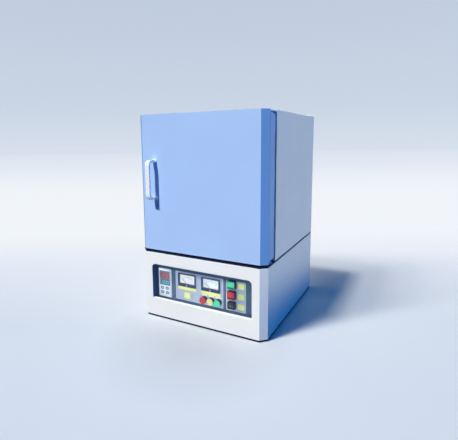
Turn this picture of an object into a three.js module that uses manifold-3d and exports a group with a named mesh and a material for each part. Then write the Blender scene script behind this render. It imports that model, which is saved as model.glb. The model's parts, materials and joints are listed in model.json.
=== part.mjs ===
// A bench-top inert atmosphere box furnace, in millimetres, +Z up, its front facing -Y.
// A white base holds the supply and the recessed control panel. The insulated chamber stands on it,
// behind a thick blue door that swings on two pivot pins at its right edge.
// Places along Y are counted from the front face of the base until the last group centres the furnace.
import * as THREE from "three";
import { mergeVertices } from "three/addons/utils/BufferGeometryUtils.js";
import Module from "manifold-3d";

const wasm = await Module();
wasm.setup();

// Sizes that the whole cabinet shares
const cabinet = {
  width: 440,
  depth: 490,
  corner: 19, // width and depth of the cut-off front corners
  sheet: 2,
  overrun: 2, // how far a cut runs past the face it opens
};
const layout = { width: 440 }; // the cabinet's width that places along X are given for
const gap = 0.3; // between pieces that turn, slide or nest in each other
const round = { coarse: 16, fine: 32 }; // sides of a small and of a large circle

const plinth = { height: 6, inset: 3 };
const base = { height: 215 };
const seam = { height: 3, inset: 1.2, band: 20 };
const deck = { thickness: 3, setback: 11 };
const upper = { height: 437, frame: 3 };

const door = {
  setback: 2,
  floorGap: 4,
  skinReturn: 2,
  panDepth: 41,
  panInset: 1,
  panDrop: 6,
  panCorner: 12,
  caseGap: 12,
  grooveWidth: 2.5, // of the shadow line between skin and pan
  grooveDepth: 1.5,
};

// Heights, from the bench upwards
const baseBottom = plinth.height;
const baseTop = baseBottom + base.height;
const deckBottom = baseTop + seam.height;
const deckTop = deckBottom + deck.thickness;
const caseTop = deckTop + upper.height;
const doorBottom = deckTop + door.floorGap;

// Depths, from the front of the base backwards
const skinFront = door.setback;
const skinRear = skinFront + cabinet.corner + door.skinReturn;
const panRear = skinRear + door.panDepth;
const caseFront = panRear + door.caseGap;
const mouthRear = caseFront + upper.frame;
const rearInner = cabinet.depth - cabinet.sheet;

const halfWidth = cabinet.width / 2;
const across = cabinet.width / layout.width; // spreads those places with the cabinet
const sideInner = halfWidth - cabinet.sheet;

// Chamber and the fibre boards around it
const chamber = { width: 160, height: 160, depth: 200, drop: 5.5 }; // drop below the casing's middle
const air = { side: 18, top: 62, rear: 88 }; // between the boards and the casing
const mouth = { margin: 5 };
const chamberMid = (deckTop + caseTop) / 2 - chamber.drop;
const chamberFloor = chamberMid - chamber.height / 2;
const chamberTop = chamberMid + chamber.height / 2;
const roofTop = caseTop - cabinet.sheet - air.top;
const chamberRear = mouthRear + chamber.depth;
const boardsRear = rearInner - air.rear;
const boardsSide = sideInner - air.side;

// Control panel, seen through the window of the base
const recess = { width: 354, height: 117.4, down: 97.7, corner: 13, foot: 4, depth: 24 };
const panelFront = recess.depth;
const recessMid = baseTop - recess.down;
const recessHalf = (recess.width / 2) * across;
const panel = { thickness: 2, margin: 10 };
const panelRear = panelFront + panel.thickness;

const material = {
  doorPaint: paint(0x8cb4f0, 0.35, 0.1),
  casePaint: paint(0xd9dde6, 0.4, 0.1),
  frontPaint: paint(0xeceff4, 0.4, 0.05),
  slate: paint(0x4a5f86, 0.5, 0.2),
  plate: paint(0xa3b6d8, 0.45, 0.2),
  rubber: paint(0x16181c, 0.85, 0),
  fibre: paint(0xf2efe8, 0.95, 0),
  ceramic: paint(0xe8dfcf, 0.8, 0),
  element: paint(0x5c5d63, 0.5, 0.6),
  steel: paint(0xb8bcc2, 0.3, 0.9),
  chrome: paint(0xe8eaee, 0.12, 1),
  brass: paint(0xc9a54e, 0.35, 0.9),
  black: paint(0x1a1b20, 0.45, 0),
  white: paint(0xe6ecf2, 0.4, 0),
  red: paint(0xe23a44, 0.25, 0),
  amber: paint(0xf3f0a8, 0.25, 0),
  green: paint(0x35d98c, 0.25, 0),
  core: paint(0x51555c, 0.6, 0.5),
};

function paint(color, roughness, metalness) {
  return new THREE.MeshStandardMaterial({ color, roughness, metalness });
}

// Solids. Each helper makes one closed body from a three.js geometry.
function solidOf(geometry) {
  const plain = geometry.index ? geometry.toNonIndexed() : geometry.clone();
  plain.deleteAttribute("normal");
  plain.deleteAttribute("uv");
  const merged = mergeVertices(plain);
  return new wasm.Manifold(
    new wasm.Mesh({
      numProp: 3,
      vertProperties: merged.attributes.position.array,
      triVerts: new Uint32Array(merged.index.array),
    }),
  );
}

function box(x0, x1, y0, y1, z0, z1) {
  const geometry = new THREE.BoxGeometry(x1 - x0, y1 - y0, z1 - z0);
  return solidOf(geometry.translate((x0 + x1) / 2, (y0 + y1) / 2, (z0 + z1) / 2));
}

// A round bar along Y or Z between two values, about the other two coordinates
function barY(x, z, radius, y0, y1, sides = round.coarse) {
  const geometry = new THREE.CylinderGeometry(radius, radius, y1 - y0, sides);
  return solidOf(geometry.translate(x, (y0 + y1) / 2, z));
}

function barZ(x, y, radius, z0, z1, sides = round.coarse) {
  const geometry = new THREE.CylinderGeometry(radius, radius, z1 - z0, sides);
  return solidOf(geometry.rotateX(Math.PI / 2).translate(x, y, (z0 + z1) / 2));
}

// A body turned about a line along Y through (x, z): its profile lists [radius, y] pairs, from the axis
// and back to the axis
function turnedY(x, z, profile, sides = round.coarse) {
  const points = profile.map(([radius, y]) => new THREE.Vector2(radius, y));
  return solidOf(new THREE.LatheGeometry(points, sides).translate(x, 0, z));
}

function outline(points) {
  return new THREE.Shape(points.map(([a, b]) => new THREE.Vector2(a, b)));
}

function roundedOutline(x0, x1, z0, z1, radius) {
  const shape = new THREE.Shape();
  shape.absarc(x1 - radius, z1 - radius, radius, 0, Math.PI / 2);
  shape.absarc(x0 + radius, z1 - radius, radius, Math.PI / 2, Math.PI);
  shape.absarc(x0 + radius, z0 + radius, radius, Math.PI, 1.5 * Math.PI);
  shape.absarc(x1 - radius, z0 + radius, radius, 1.5 * Math.PI, 2 * Math.PI);
  return shape;
}

const arcSteps = { fine: 6, coarse: 3 };

// A plan outline (x, y) raised from z0 to z1
function raised(shape, z0, z1) {
  const geometry = new THREE.ExtrudeGeometry(shape, { depth: z1 - z0, bevelEnabled: false });
  return solidOf(geometry.translate(0, 0, z0));
}

// A front-view outline (x, z) pushed back from y0 to y1
function pushed(shape, y0, y1, curveSegments = arcSteps.fine) {
  const geometry = new THREE.ExtrudeGeometry(shape, { depth: y1 - y0, bevelEnabled: false, curveSegments });
  return solidOf(geometry.rotateX(Math.PI / 2).translate(0, y1, 0));
}

// A side-view outline (y, z) spread from x0 to x1
function spread(shape, x0, x1, curveSegments = arcSteps.fine) {
  const geometry = new THREE.ExtrudeGeometry(shape, { depth: x1 - x0, bevelEnabled: false, curveSegments });
  const turn = new THREE.Matrix4().makeBasis(
    new THREE.Vector3(0, 1, 0),
    new THREE.Vector3(0, 0, 1),
    new THREE.Vector3(1, 0, 0),
  );
  return solidOf(geometry.applyMatrix4(turn).translate(x0, 0, 0));
}

const joined = (solids) => solids.reduce((sum, solid) => sum.add(solid));
const cut = (solid, tools) => tools.reduce((rest, tool) => rest.subtract(tool), solid);

const furnace = new THREE.Group();

function piece(name, solid, look, parent = furnace) {
  const made = solid.getMesh();
  const positions = new Float32Array(made.numVert * 3);
  for (let i = 0; i < made.numVert; i++) {
    positions.set(made.vertProperties.subarray(i * made.numProp, i * made.numProp + 3), i * 3);
  }
  const geometry = new THREE.BufferGeometry();
  geometry.setAttribute("position", new THREE.BufferAttribute(positions, 3));
  geometry.setIndex(new THREE.BufferAttribute(new Uint32Array(made.triVerts), 1));
  geometry.computeVertexNormals();
  const mesh = new THREE.Mesh(geometry, look);
  mesh.name = name;
  parent.add(mesh);
  return mesh;
}

// The plan of the cabinet with its front corners cut off, drawn in by inset on every side
function planOutline(inset) {
  const side = halfWidth - inset;
  const shift = inset * (Math.SQRT2 - 1);
  const cutAt = cabinet.corner + shift;
  const frontX = halfWidth - cabinet.corner - shift;
  return outline([
    [-side, cutAt],
    [-frontX, inset],
    [frontX, inset],
    [side, cutAt],
    [side, cabinet.depth - inset],
    [-side, cabinet.depth - inset],
  ]);
}

// A folded front: a flat face and two slanted corners of one sheet, open at the rear
function foldedFront(front, rear, z0, z1) {
  const sheet = cabinet.sheet;
  const shift = sheet * (Math.SQRT2 - 1);
  const cutAt = front + cabinet.corner;
  const frontX = halfWidth - cabinet.corner;
  const shape = outline([
    [-halfWidth, rear],
    [-halfWidth, cutAt],
    [-frontX, front],
    [frontX, front],
    [halfWidth, cutAt],
    [halfWidth, rear],
    [sideInner, rear],
    [sideInner, cutAt + shift],
    [frontX - shift, front + sheet],
    [shift - frontX, front + sheet],
    [-sideInner, cutAt + shift],
    [-sideInner, rear],
  ]);
  return raised(shape, z0, z1);
}

// Plinth: a low black slab that the base stands on, set in a little from its sides
function makePlinth() {
  piece("plinth", raised(planOutline(plinth.inset), 0, plinth.height), material.rubber);
}

// A slot with round ends through a rear panel
function rearSlot(x, z, width, height) {
  const end = Math.min(width, height) / 2;
  const shape = roundedOutline(x - width / 2, x + width / 2, z - height / 2, z + height / 2, end);
  return pushed(shape, rearInner - cabinet.overrun, cabinet.depth + cabinet.overrun, arcSteps.coarse);
}

// A round hole through a rear panel, a gap wider than the bar it lets through
function rearHole(x, z, radius) {
  return barY(
    x,
    z,
    radius + gap,
    rearInner - cabinet.overrun,
    cabinet.depth + cabinet.overrun,
    round.coarse,
  );
}

// Base: floor, white front with the window, two side panels and a rear panel with the fan's slots
const sideStart = cabinet.corner + cabinet.sheet;
const fan = {
  size: 92,
  thickness: 25,
  bore: 44,
  x: 118,
  up: 112,
  slots: 9,
  slotWidth: 5,
  slotPitch: 9,
  slotHeight: 84,
};
const fanX = fan.x * across;
const gland = {
  x: -150,
  up: 50,
  thread: 10,
  nut: 15,
  nutDepth: 8,
  dome: 12,
  reach: 22,
  bore: 6,
  inside: 12,
};
const glandX = gland.x * across;

// The window has round upper corners and nearly square lower ones
function windowOutline(grow = 0) {
  const side = recessHalf + grow;
  const low = recessMid - recess.height / 2 - grow;
  const high = recessMid + recess.height / 2 + grow;
  const corner = recess.corner + grow;
  const foot = recess.foot + grow;
  const shape = new THREE.Shape();
  shape.absarc(side - corner, high - corner, corner, 0, Math.PI / 2);
  shape.absarc(corner - side, high - corner, corner, Math.PI / 2, Math.PI);
  shape.absarc(foot - side, low + foot, foot, Math.PI, 1.5 * Math.PI);
  shape.absarc(side - foot, low + foot, foot, 1.5 * Math.PI, 2 * Math.PI);
  return shape;
}

function makeBase() {
  const sheet = cabinet.sheet;
  piece(
    "base_floor",
    raised(planOutline(sheet + gap), baseBottom, baseBottom + sheet),
    material.casePaint,
  );

  const front = foldedFront(0, sideStart, baseBottom, baseTop);
  const hole = pushed(windowOutline(), -cabinet.overrun, sheet + cabinet.overrun);
  piece("base_front", cut(front, [hole]), material.frontPaint);

  piece(
    "base_side_left",
    box(-halfWidth, -sideInner, sideStart, rearInner, baseBottom, baseTop),
    material.casePaint,
  );
  piece(
    "base_side_right",
    box(sideInner, halfWidth, sideStart, rearInner, baseBottom, baseTop),
    material.casePaint,
  );

  const fanZ = baseBottom + fan.up;
  const slots = [];
  for (let i = 0; i < fan.slots; i++) {
    const x = fanX + (i - (fan.slots - 1) / 2) * fan.slotPitch;
    slots.push(rearSlot(x, fanZ, fan.slotWidth, fan.slotHeight));
  }
  const glandHole = rearHole(glandX, baseBottom + gland.up, gland.thread);
  const rear = box(-halfWidth, halfWidth, rearInner, cabinet.depth, baseBottom, baseTop);
  piece("base_rear", cut(rear, [...slots, glandHole]), material.casePaint);

  const nutBack = rearInner - gap;
  const nutFront = cabinet.depth + gap;
  piece(
    "power_inlet",
    turnedY(
      glandX,
      baseBottom + gland.up,
      [
        [gland.bore, nutBack - gland.inside],
        [gland.thread, nutBack - gland.inside],
        [gland.thread, nutBack - gland.nutDepth],
        [gland.nut, nutBack - gland.nutDepth],
        [gland.nut, nutBack],
        [gland.thread, nutBack],
        [gland.thread, nutFront],
        [gland.nut, nutFront],
        [gland.nut, nutFront + gland.nutDepth],
        [gland.dome, nutFront + gland.nutDepth],
        [gland.dome, nutFront + gland.reach - gland.thread + gland.bore],
        [gland.bore + gap, nutFront + gland.reach],
        [gland.bore, nutFront + gland.reach],
        [gland.bore, nutBack - gland.inside],
      ],
      round.fine,
    ),
    material.black,
  );
}

// Supply in the base: transformer, power controller on its heat sink, and the cooling fan
const transformer = {
  x: -90,
  y: 270,
  width: 130,
  depth: 70,
  height: 112,
  coilWidth: 74,
  coilDepth: 112,
  coilRise: 20,
};
const transformerX = transformer.x * across;
const sink = {
  x: 84,
  y: 250,
  width: 110,
  depth: 130,
  foot: 8,
  fin: 26,
  finWidth: 3,
  fins: 9,
  blockWidth: 34,
  blockUp: 24,
};
const sinkX = sink.x * across;
const rotor = {
  hub: 17,
  depth: 18,
  blade: 41,
  bladeWidth: 2,
  bladeDepth: 15,
  blades: 7,
  pitch: 0.6,
  pin: 2.5,
  pinDepth: 12,
};

function makeSupply() {
  const floorTop = baseBottom + cabinet.sheet;
  const t = transformer;
  const core = box(
    transformerX - t.width / 2,
    transformerX + t.width / 2,
    t.y - t.depth / 2,
    t.y + t.depth / 2,
    floorTop,
    floorTop + t.height,
  );
  const coil = box(
    transformerX - t.coilWidth / 2,
    transformerX + t.coilWidth / 2,
    t.y - t.coilDepth / 2,
    t.y + t.coilDepth / 2,
    floorTop + t.coilRise,
    floorTop + t.height - t.coilRise,
  );
  piece("transformer", joined([core, coil]), material.core);

  const parts = [
    box(
      sinkX - sink.width / 2,
      sinkX + sink.width / 2,
      sink.y - sink.depth / 2,
      sink.y + sink.depth / 2,
      floorTop,
      floorTop + sink.foot,
    ),
  ];
  const pitch = (sink.width - sink.finWidth) / (sink.fins - 1);
  for (let i = 0; i < sink.fins; i++) {
    const x0 = sinkX - sink.width / 2 + i * pitch;
    parts.push(
      box(
        x0,
        x0 + sink.finWidth,
        sink.y - sink.depth / 2,
        sink.y + sink.depth / 2,
        floorTop,
        floorTop + sink.foot + sink.fin,
      ),
    );
  }
  const middle = sink.y;
  parts.push(
    box(
      sinkX - sink.blockWidth,
      sinkX + sink.blockWidth,
      middle - sink.blockWidth / 2,
      middle + sink.blockWidth / 2,
      floorTop + sink.foot,
      floorTop + sink.foot + sink.fin + sink.blockUp,
    ),
  );
  piece("power_controller", joined(parts), material.steel);

  const fanZ = baseBottom + fan.up;
  const fanFront = rearInner - fan.thickness;
  const half = fan.size / 2;
  const shell = cut(box(fanX - half, fanX + half, fanFront, rearInner, fanZ - half, fanZ + half), [
    barY(fanX, fanZ, fan.bore, fanFront - cabinet.overrun, rearInner + cabinet.overrun, round.fine),
  ]);
  const strut = box(
    fanX - half,
    fanX + half,
    fanFront,
    fanFront + cabinet.sheet,
    fanZ - rotor.pin,
    fanZ + rotor.pin,
  );
  const hubSeat = barY(fanX, fanZ, rotor.hub, fanFront, fanFront + cabinet.sheet);
  const pin = barY(fanX, fanZ, rotor.pin, fanFront, fanFront + cabinet.sheet + rotor.pinDepth);
  piece("fan_frame", joined([shell, strut, hubSeat, pin]), material.black);

  const rotorFront = fanFront + cabinet.sheet + gap;
  const blades = [];
  for (let i = 0; i < rotor.blades; i++) {
    const blade = new THREE.BoxGeometry(rotor.bladeWidth, rotor.bladeDepth, rotor.blade - rotor.hub / 2);
    blade.rotateZ(rotor.pitch);
    blade.translate(0, 0, (rotor.blade + rotor.hub / 2) / 2);
    blade.rotateY((i * 2 * Math.PI) / rotor.blades);
    blade.translate(fanX, rotorFront + rotor.depth / 2, fanZ);
    blades.push(solidOf(blade));
  }
  const hub = barY(fanX, fanZ, rotor.hub, rotorFront, rotorFront + rotor.depth, round.fine);
  const bore = barY(
    fanX,
    fanZ,
    rotor.pin + gap,
    rotorFront - cabinet.overrun,
    rotorFront + rotor.pinDepth + gap,
  );
  piece("fan_rotor", cut(joined([hub, ...blades]), [bore]), material.black);
}

// Seam strip, deck and upper casing: a folded cover, a rear panel and the frame around the chamber's mouth
function makeCasing() {
  const ring = cut(raised(planOutline(seam.inset), baseTop, deckBottom), [
    raised(planOutline(seam.inset + seam.band), baseTop - cabinet.overrun, deckBottom + cabinet.overrun),
  ]);
  piece("seam_strip", ring, material.rubber);
  const deckFront = cut(raised(planOutline(0), deckBottom, deckTop), [
    box(
      -halfWidth,
      halfWidth,
      -cabinet.overrun,
      deck.setback,
      deckBottom - cabinet.overrun,
      deckTop + cabinet.overrun,
    ),
  ]);
  piece("deck_plate", deckFront, material.casePaint);

  const cover = cut(box(-halfWidth, halfWidth, caseFront, rearInner, deckTop, caseTop), [
    box(
      -sideInner,
      sideInner,
      caseFront - cabinet.overrun,
      rearInner + cabinet.overrun,
      deckTop - cabinet.overrun,
      caseTop - cabinet.sheet,
    ),
  ]);
  piece("case_cover", cover, material.casePaint);

  const holes = rearPipes().map(([x, z, radius]) => rearHole(x, z, radius));
  const rear = box(-halfWidth, halfWidth, rearInner, cabinet.depth, deckTop, caseTop);
  piece("case_rear", cut(rear, [...holes, ...ventSlots()]), material.casePaint);

  const half = chamber.width / 2 + mouth.margin;
  const frame = cut(box(-sideInner, sideInner, caseFront, mouthRear, deckTop, caseTop - cabinet.sheet), [
    box(
      -half,
      half,
      caseFront - cabinet.overrun,
      mouthRear + cabinet.overrun,
      chamberFloor - mouth.margin,
      chamberTop + mouth.margin,
    ),
  ]);
  piece("mouth_frame", frame, material.steel);
}

// Vent slots across the top of the rear panel let the hot air out from between the two shells
const vent = { count: 2, rows: 4, width: 110, height: 5, pitch: 12, x: 100, down: 30 };
const ventX = vent.x * across;

function ventSlots() {
  const slots = [];
  for (let column = 0; column < vent.count; column++) {
    for (let row = 0; row < vent.rows; row++) {
      const x = (2 * column - 1) * ventX;
      const z = caseTop - vent.down - row * vent.pitch;
      slots.push(rearSlot(x, z, vent.width, vent.height));
    }
  }
  return slots;
}

// Rear fittings: a thermocouple and the gas inlet and outlet, each on a pipe into the chamber
const thermocouple = { x: 0, down: 20, sheath: 4, reach: 12, head: 14, headDepth: 24 };
const gas = {
  x: 50,
  inletUp: 20,
  outletDown: 20,
  pipe: 4,
  valve: 24,
  stem: 3,
  stemRise: 12,
  barb: 5,
  barbStep: 1.5,
  reach: 19.7,
};
const knob = { radius: 10.5, height: 12, cover: 9 };
const lever = { hub: 8, length: 30, width: 9, thickness: 4 };
const thermocoupleZ = chamberTop - thermocouple.down;
const inletZ = chamberFloor + gas.inletUp;
const outletZ = chamberTop - gas.outletDown;
const fittingFront = cabinet.depth + gap;
const rearReach = fittingFront + gas.valve + gas.reach;

// What runs through the rear board and the rear panel, as [x, z, radius]
function rearPipes() {
  return [
    [thermocouple.x, thermocoupleZ, thermocouple.sheath],
    [-gas.x, inletZ, gas.pipe],
    [gas.x, outletZ, gas.pipe],
  ];
}

function gasFitting(name, x, z) {
  const valveRear = fittingFront + gas.valve;
  const middle = fittingFront + gas.valve / 2;
  const half = gas.valve / 2;
  const body = box(x - half, x + half, fittingFront, valveRear, z - half, z + half);
  const pipe = barY(x, z, gas.pipe, chamberRear, fittingFront + gas.pipe);
  const tip = turnedY(x, z, [
    [0, valveRear - gas.pipe],
    [gas.pipe, valveRear - gas.pipe],
    [gas.pipe, valveRear + gas.barb],
    [gas.barb, valveRear + gas.barb],
    [gas.pipe, valveRear + 2 * gas.barb],
    [gas.barb, valveRear + 2 * gas.barb],
    [gas.pipe, valveRear + 3 * gas.barb],
    [gas.barb, valveRear + 3 * gas.barb],
    [gas.pipe - gas.barbStep, rearReach],
    [0, rearReach],
  ]);
  const stem = barZ(x, middle, gas.stem, z + half - gas.stem, z + half + gas.stemRise);
  piece(name, joined([body, pipe, tip, stem]), material.brass);
}

function makeFittings() {
  piece(
    "thermocouple",
    joined([
      barY(
        thermocouple.x,
        thermocoupleZ,
        thermocouple.sheath,
        chamberRear - thermocouple.reach,
        fittingFront + thermocouple.sheath,
      ),
      barY(
        thermocouple.x,
        thermocoupleZ,
        thermocouple.head,
        fittingFront,
        fittingFront + thermocouple.headDepth,
        round.fine,
      ),
    ]),
    material.steel,
  );
  gasFitting("gas_inlet", -gas.x, inletZ);
  gasFitting("gas_outlet", gas.x, outletZ);

  const middle = fittingFront + gas.valve / 2;
  const knobBottom = inletZ + gas.valve / 2 + gap;
  piece(
    "inlet_knob",
    cut(barZ(-gas.x, middle, knob.radius, knobBottom, knobBottom + knob.height + gap, 2 * round.coarse), [
      barZ(
        -gas.x,
        middle,
        gas.stem + gap,
        knobBottom - cabinet.overrun,
        inletZ + gas.valve / 2 + gas.stemRise + gap,
      ),
      ...knobFlutes(-gas.x, middle, knobBottom),
    ]),
    material.black,
  );

  const leverBottom = outletZ + gas.valve / 2 + gap;
  const hub = barZ(gas.x, middle, lever.hub, leverBottom, leverBottom + lever.thickness + gas.stem);
  const arm = box(
    gas.x - lever.width / 2,
    gas.x + lever.width / 2,
    middle,
    middle + lever.length,
    leverBottom + gas.stem,
    leverBottom + gas.stem + lever.thickness,
  );
  piece(
    "outlet_lever",
    cut(joined([hub, arm]), [
      barZ(
        gas.x,
        middle,
        gas.stem + gap,
        leverBottom - cabinet.overrun,
        leverBottom + gas.stemRise + cabinet.overrun,
      ),
    ]),
    material.red,
  );
}

const flute = { count: 8, radius: 2 };

function knobFlutes(x, y, bottom) {
  const flutes = [];
  for (let i = 0; i < flute.count; i++) {
    const angle = ((i + 1 / 2) * 2 * Math.PI) / flute.count;
    flutes.push(
      barZ(
        x + knob.radius * Math.cos(angle),
        y + knob.radius * Math.sin(angle),
        flute.radius,
        bottom + knob.height - knob.cover,
        bottom + knob.height + cabinet.overrun,
        round.coarse / 2,
      ),
    );
  }
  return flutes;
}

// Chamber: five fibre boards, a hearth plate and four hanging U-shaped elements
const hearth = { width: 100, thickness: 6, front: 46, rear: 8 };
const element = {
  wall: 18,
  first: 70,
  pitch: 72,
  spread: 22,
  rod: 3,
  terminal: 6,
  collar: 11,
  collarDepth: 7,
  above: 30,
  below: 10,
  bend: 36,
};

function makeChamber() {
  const side = chamber.width / 2;
  piece(
    "insulation_floor",
    box(-boardsSide, boardsSide, mouthRear, boardsRear, deckTop, chamberFloor),
    material.fibre,
  );
  piece(
    "insulation_left",
    box(-boardsSide, -side, mouthRear, boardsRear, chamberFloor, chamberTop),
    material.fibre,
  );
  piece(
    "insulation_right",
    box(side, boardsSide, mouthRear, boardsRear, chamberFloor, chamberTop),
    material.fibre,
  );

  const bores = rearPipes().map(([x, z, radius]) =>
    barY(x, z, radius + gap, chamberRear - cabinet.overrun, boardsRear + cabinet.overrun),
  );
  piece(
    "insulation_rear",
    cut(box(-side, side, chamberRear, boardsRear, chamberFloor, chamberTop), bores),
    material.fibre,
  );

  const holes = [];
  const places = elementPlaces();
  for (const { x, y } of places) {
    for (const leg of [-1, 1]) {
      holes.push(
        barZ(
          x,
          y + leg * element.spread,
          element.terminal + gap,
          chamberTop - cabinet.overrun,
          roofTop + cabinet.overrun,
        ),
      );
    }
  }
  piece(
    "insulation_roof",
    cut(box(-boardsSide, boardsSide, mouthRear, boardsRear, chamberTop, roofTop), holes),
    material.fibre,
  );

  piece(
    "hearth_plate",
    box(
      -hearth.width / 2,
      hearth.width / 2,
      mouthRear + hearth.front,
      chamberRear - hearth.rear,
      chamberFloor,
      chamberFloor + hearth.thickness,
    ),
    material.ceramic,
  );

  places.forEach(({ x, y }, i) =>
    piece(`heating_element_${i + 1}`, heatingElement(x, y), material.element),
  );
}

function elementPlaces() {
  const places = [];
  for (const side of [-1, 1]) {
    for (const row of [0, 1]) {
      places.push({
        x: side * (chamber.width / 2 - element.wall),
        y: mouthRear + element.first + row * element.pitch,
      });
    }
  }
  return places;
}

// Two thick terminals through the roof carry a thin rod bent into a U; collars on the roof hold it up
function heatingElement(x, y) {
  const rodTop = chamberTop - element.below;
  const bendZ = chamberFloor + element.bend;
  const bendSteps = 8;
  const route = [new THREE.Vector3(x, y - element.spread, rodTop + element.rod)];
  for (let i = 0; i <= bendSteps; i++) {
    const angle = Math.PI + (i * Math.PI) / bendSteps;
    route.push(
      new THREE.Vector3(x, y + element.spread * Math.cos(angle), bendZ + element.spread * Math.sin(angle)),
    );
  }
  route.push(new THREE.Vector3(x, y + element.spread, rodTop + element.rod));

  const parts = [];
  for (let i = 1; i < route.length; i++) {
    parts.push(rodBetween(route[i - 1], route[i], element.rod));
    if (i < route.length - 1) parts.push(ball(route[i], element.rod));
  }
  for (const leg of [-1, 1]) {
    const legY = y + leg * element.spread;
    parts.push(barZ(x, legY, element.terminal, rodTop, roofTop + element.above));
    parts.push(barZ(x, legY, element.collar, roofTop, roofTop + element.collarDepth));
  }
  return joined(parts);
}

function rodBetween(start, end, radius) {
  const along = new THREE.Vector3().subVectors(end, start);
  const geometry = new THREE.CylinderGeometry(radius, radius, along.length(), round.coarse / 2);
  const turn = new THREE.Quaternion().setFromUnitVectors(
    new THREE.Vector3(0, 1, 0),
    along.clone().normalize(),
  );
  geometry.applyQuaternion(turn);
  const middle = new THREE.Vector3().addVectors(start, end).multiplyScalar(1 / 2);
  return solidOf(geometry.translate(middle.x, middle.y, middle.z));
}

function ball(centre, radius) {
  const geometry = new THREE.SphereGeometry(radius, round.coarse / 2, round.coarse / 4);
  return solidOf(geometry.translate(centre.x, centre.y, centre.z));
}

// Door seal and magnetic catch, both fixed to the mouth frame in the gap behind the door
const sealRing = { margin: 14, width: 11, corner: 8 };
const magnet = { width: 14, height: 40, inset: 6 };

function makeSeal() {
  const inner = chamber.width / 2 + sealRing.margin;
  const outer = inner + sealRing.width;
  const front = panRear + gap;
  const ring = cut(
    pushed(
      roundedOutline(
        -outer,
        outer,
        chamberMid - outer,
        chamberMid + outer,
        sealRing.corner + sealRing.width,
      ),
      front,
      caseFront,
    ),
    [
      pushed(
        roundedOutline(-inner, inner, chamberMid - inner, chamberMid + inner, sealRing.corner),
        front - cabinet.overrun,
        caseFront + cabinet.overrun,
      ),
    ],
  );
  piece("mouth_seal", ring, material.ceramic);
  piece(
    "door_catch",
    box(
      magnet.inset - halfWidth,
      magnet.inset + magnet.width - halfWidth,
      front,
      caseFront,
      chamberMid - magnet.height / 2,
      chamberMid + magnet.height / 2,
    ),
    material.black,
  );
}

// Door: a folded front skin, a rear pan with rounded corners, an insulating plug and a bow handle
const pivot = {
  inset: 12,
  fromRear: 14,
  pin: 4,
  boss: 9,
  bossDepth: 16,
  washer: 9,
  arm: 4,
  armHalf: 9,
  leg: 3,
  legDrop: 60,
};
const pivotX = halfWidth - pivot.inset;
const pivotY = panRear - pivot.fromRear;
const panBottom = doorBottom + door.panInset;
const panTop = caseTop - door.panDrop;
const panSide = halfWidth - door.panInset;
const plug = { play: 4, taper: 7, flange: 24, flangeDepth: 10, reach: 54 };

function makeDoor() {
  const sheet = cabinet.sheet;
  const capShape = outline([
    [-halfWidth, skinRear],
    [-halfWidth, skinFront + cabinet.corner],
    [cabinet.corner - halfWidth, skinFront],
    [halfWidth - cabinet.corner, skinFront],
    [halfWidth, skinFront + cabinet.corner],
    [halfWidth, skinRear],
  ]);
  piece(
    "door_skin",
    joined([
      foldedFront(skinFront, skinRear, doorBottom, caseTop),
      raised(capShape, doorBottom, doorBottom + sheet),
      raised(capShape, caseTop - sheet, caseTop),
    ]),
    material.doorPaint,
  );

  const cavity = panSlab(door.grooveDepth + sheet, skinRear - cabinet.overrun, panRear - sheet);
  const pan = cut(
    joined([
      panSlab(0, skinRear + door.grooveWidth, panRear),
      panSlab(door.grooveDepth, skinRear, panRear),
    ]),
    [cavity],
  );
  const bosses = [
    [panBottom, panBottom + pivot.bossDepth],
    [panTop - pivot.bossDepth, panTop],
  ].map(([z0, z1]) => {
    const x0 = pivotX - pivot.boss;
    const x1 = panSide - door.panInset;
    return box(x0, x1, pivotY - pivot.boss, pivotY + pivot.boss, z0, z1);
  });
  const plugHalf = chamber.width / 2 - plug.play;
  const panHoles = [
    box(
      -plugHalf - gap,
      plugHalf + gap,
      panRear - sheet - cabinet.overrun,
      panRear + cabinet.overrun,
      chamberMid - plugHalf - gap,
      chamberMid + plugHalf + gap,
    ),
    barZ(pivotX, pivotY, pivot.pin + gap, panBottom - cabinet.overrun, panTop + cabinet.overrun),
  ];
  const trimmed = bosses.map((boss) => boss.intersect(panSlab(door.grooveDepth, skinRear, panRear)));
  piece("door_pan", cut(joined([pan, ...trimmed]), panHoles), material.doorPaint);

  const flangeHalf = plugHalf + plug.flange;
  const flangeRear = panRear - sheet;
  piece(
    "door_plug",
    joined([
      box(
        -flangeHalf,
        flangeHalf,
        flangeRear - plug.flangeDepth,
        flangeRear,
        chamberMid - flangeHalf,
        chamberMid + flangeHalf,
      ),
      taperedBlock(plugHalf, plugHalf - plug.taper, flangeRear - sheet, panRear + plug.reach),
    ]),
    material.fibre,
  );
  piece("door_handle", handleSolid(), material.chrome);
}

// A slab with the pan's rounded outline, drawn in by inset on every side
function panSlab(inset, y0, y1) {
  const side = panSide - inset;
  return pushed(
    roundedOutline(-side, side, panBottom + inset, panTop - inset, door.panCorner - inset),
    y0,
    y1,
  );
}

// A square block about the chamber's middle that narrows from the half width a at y0 to b at y1
function taperedBlock(a, b, y0, y1) {
  const geometry = new THREE.BoxGeometry(2 * a, y1 - y0, 2 * a);
  const places = geometry.attributes.position;
  for (let i = 0; i < places.count; i++) {
    if (places.getY(i) > 0) {
      places.setX(i, (places.getX(i) * b) / a);
      places.setZ(i, (places.getZ(i) * b) / a);
    }
  }
  return solidOf(geometry.translate(0, (y0 + y1) / 2, chamberMid));
}

const handle = { x: -155, up: 230, height: 125, reach: 40, width: 14, bar: 7, bend: 17 };
const handleX = handle.x * across;

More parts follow.
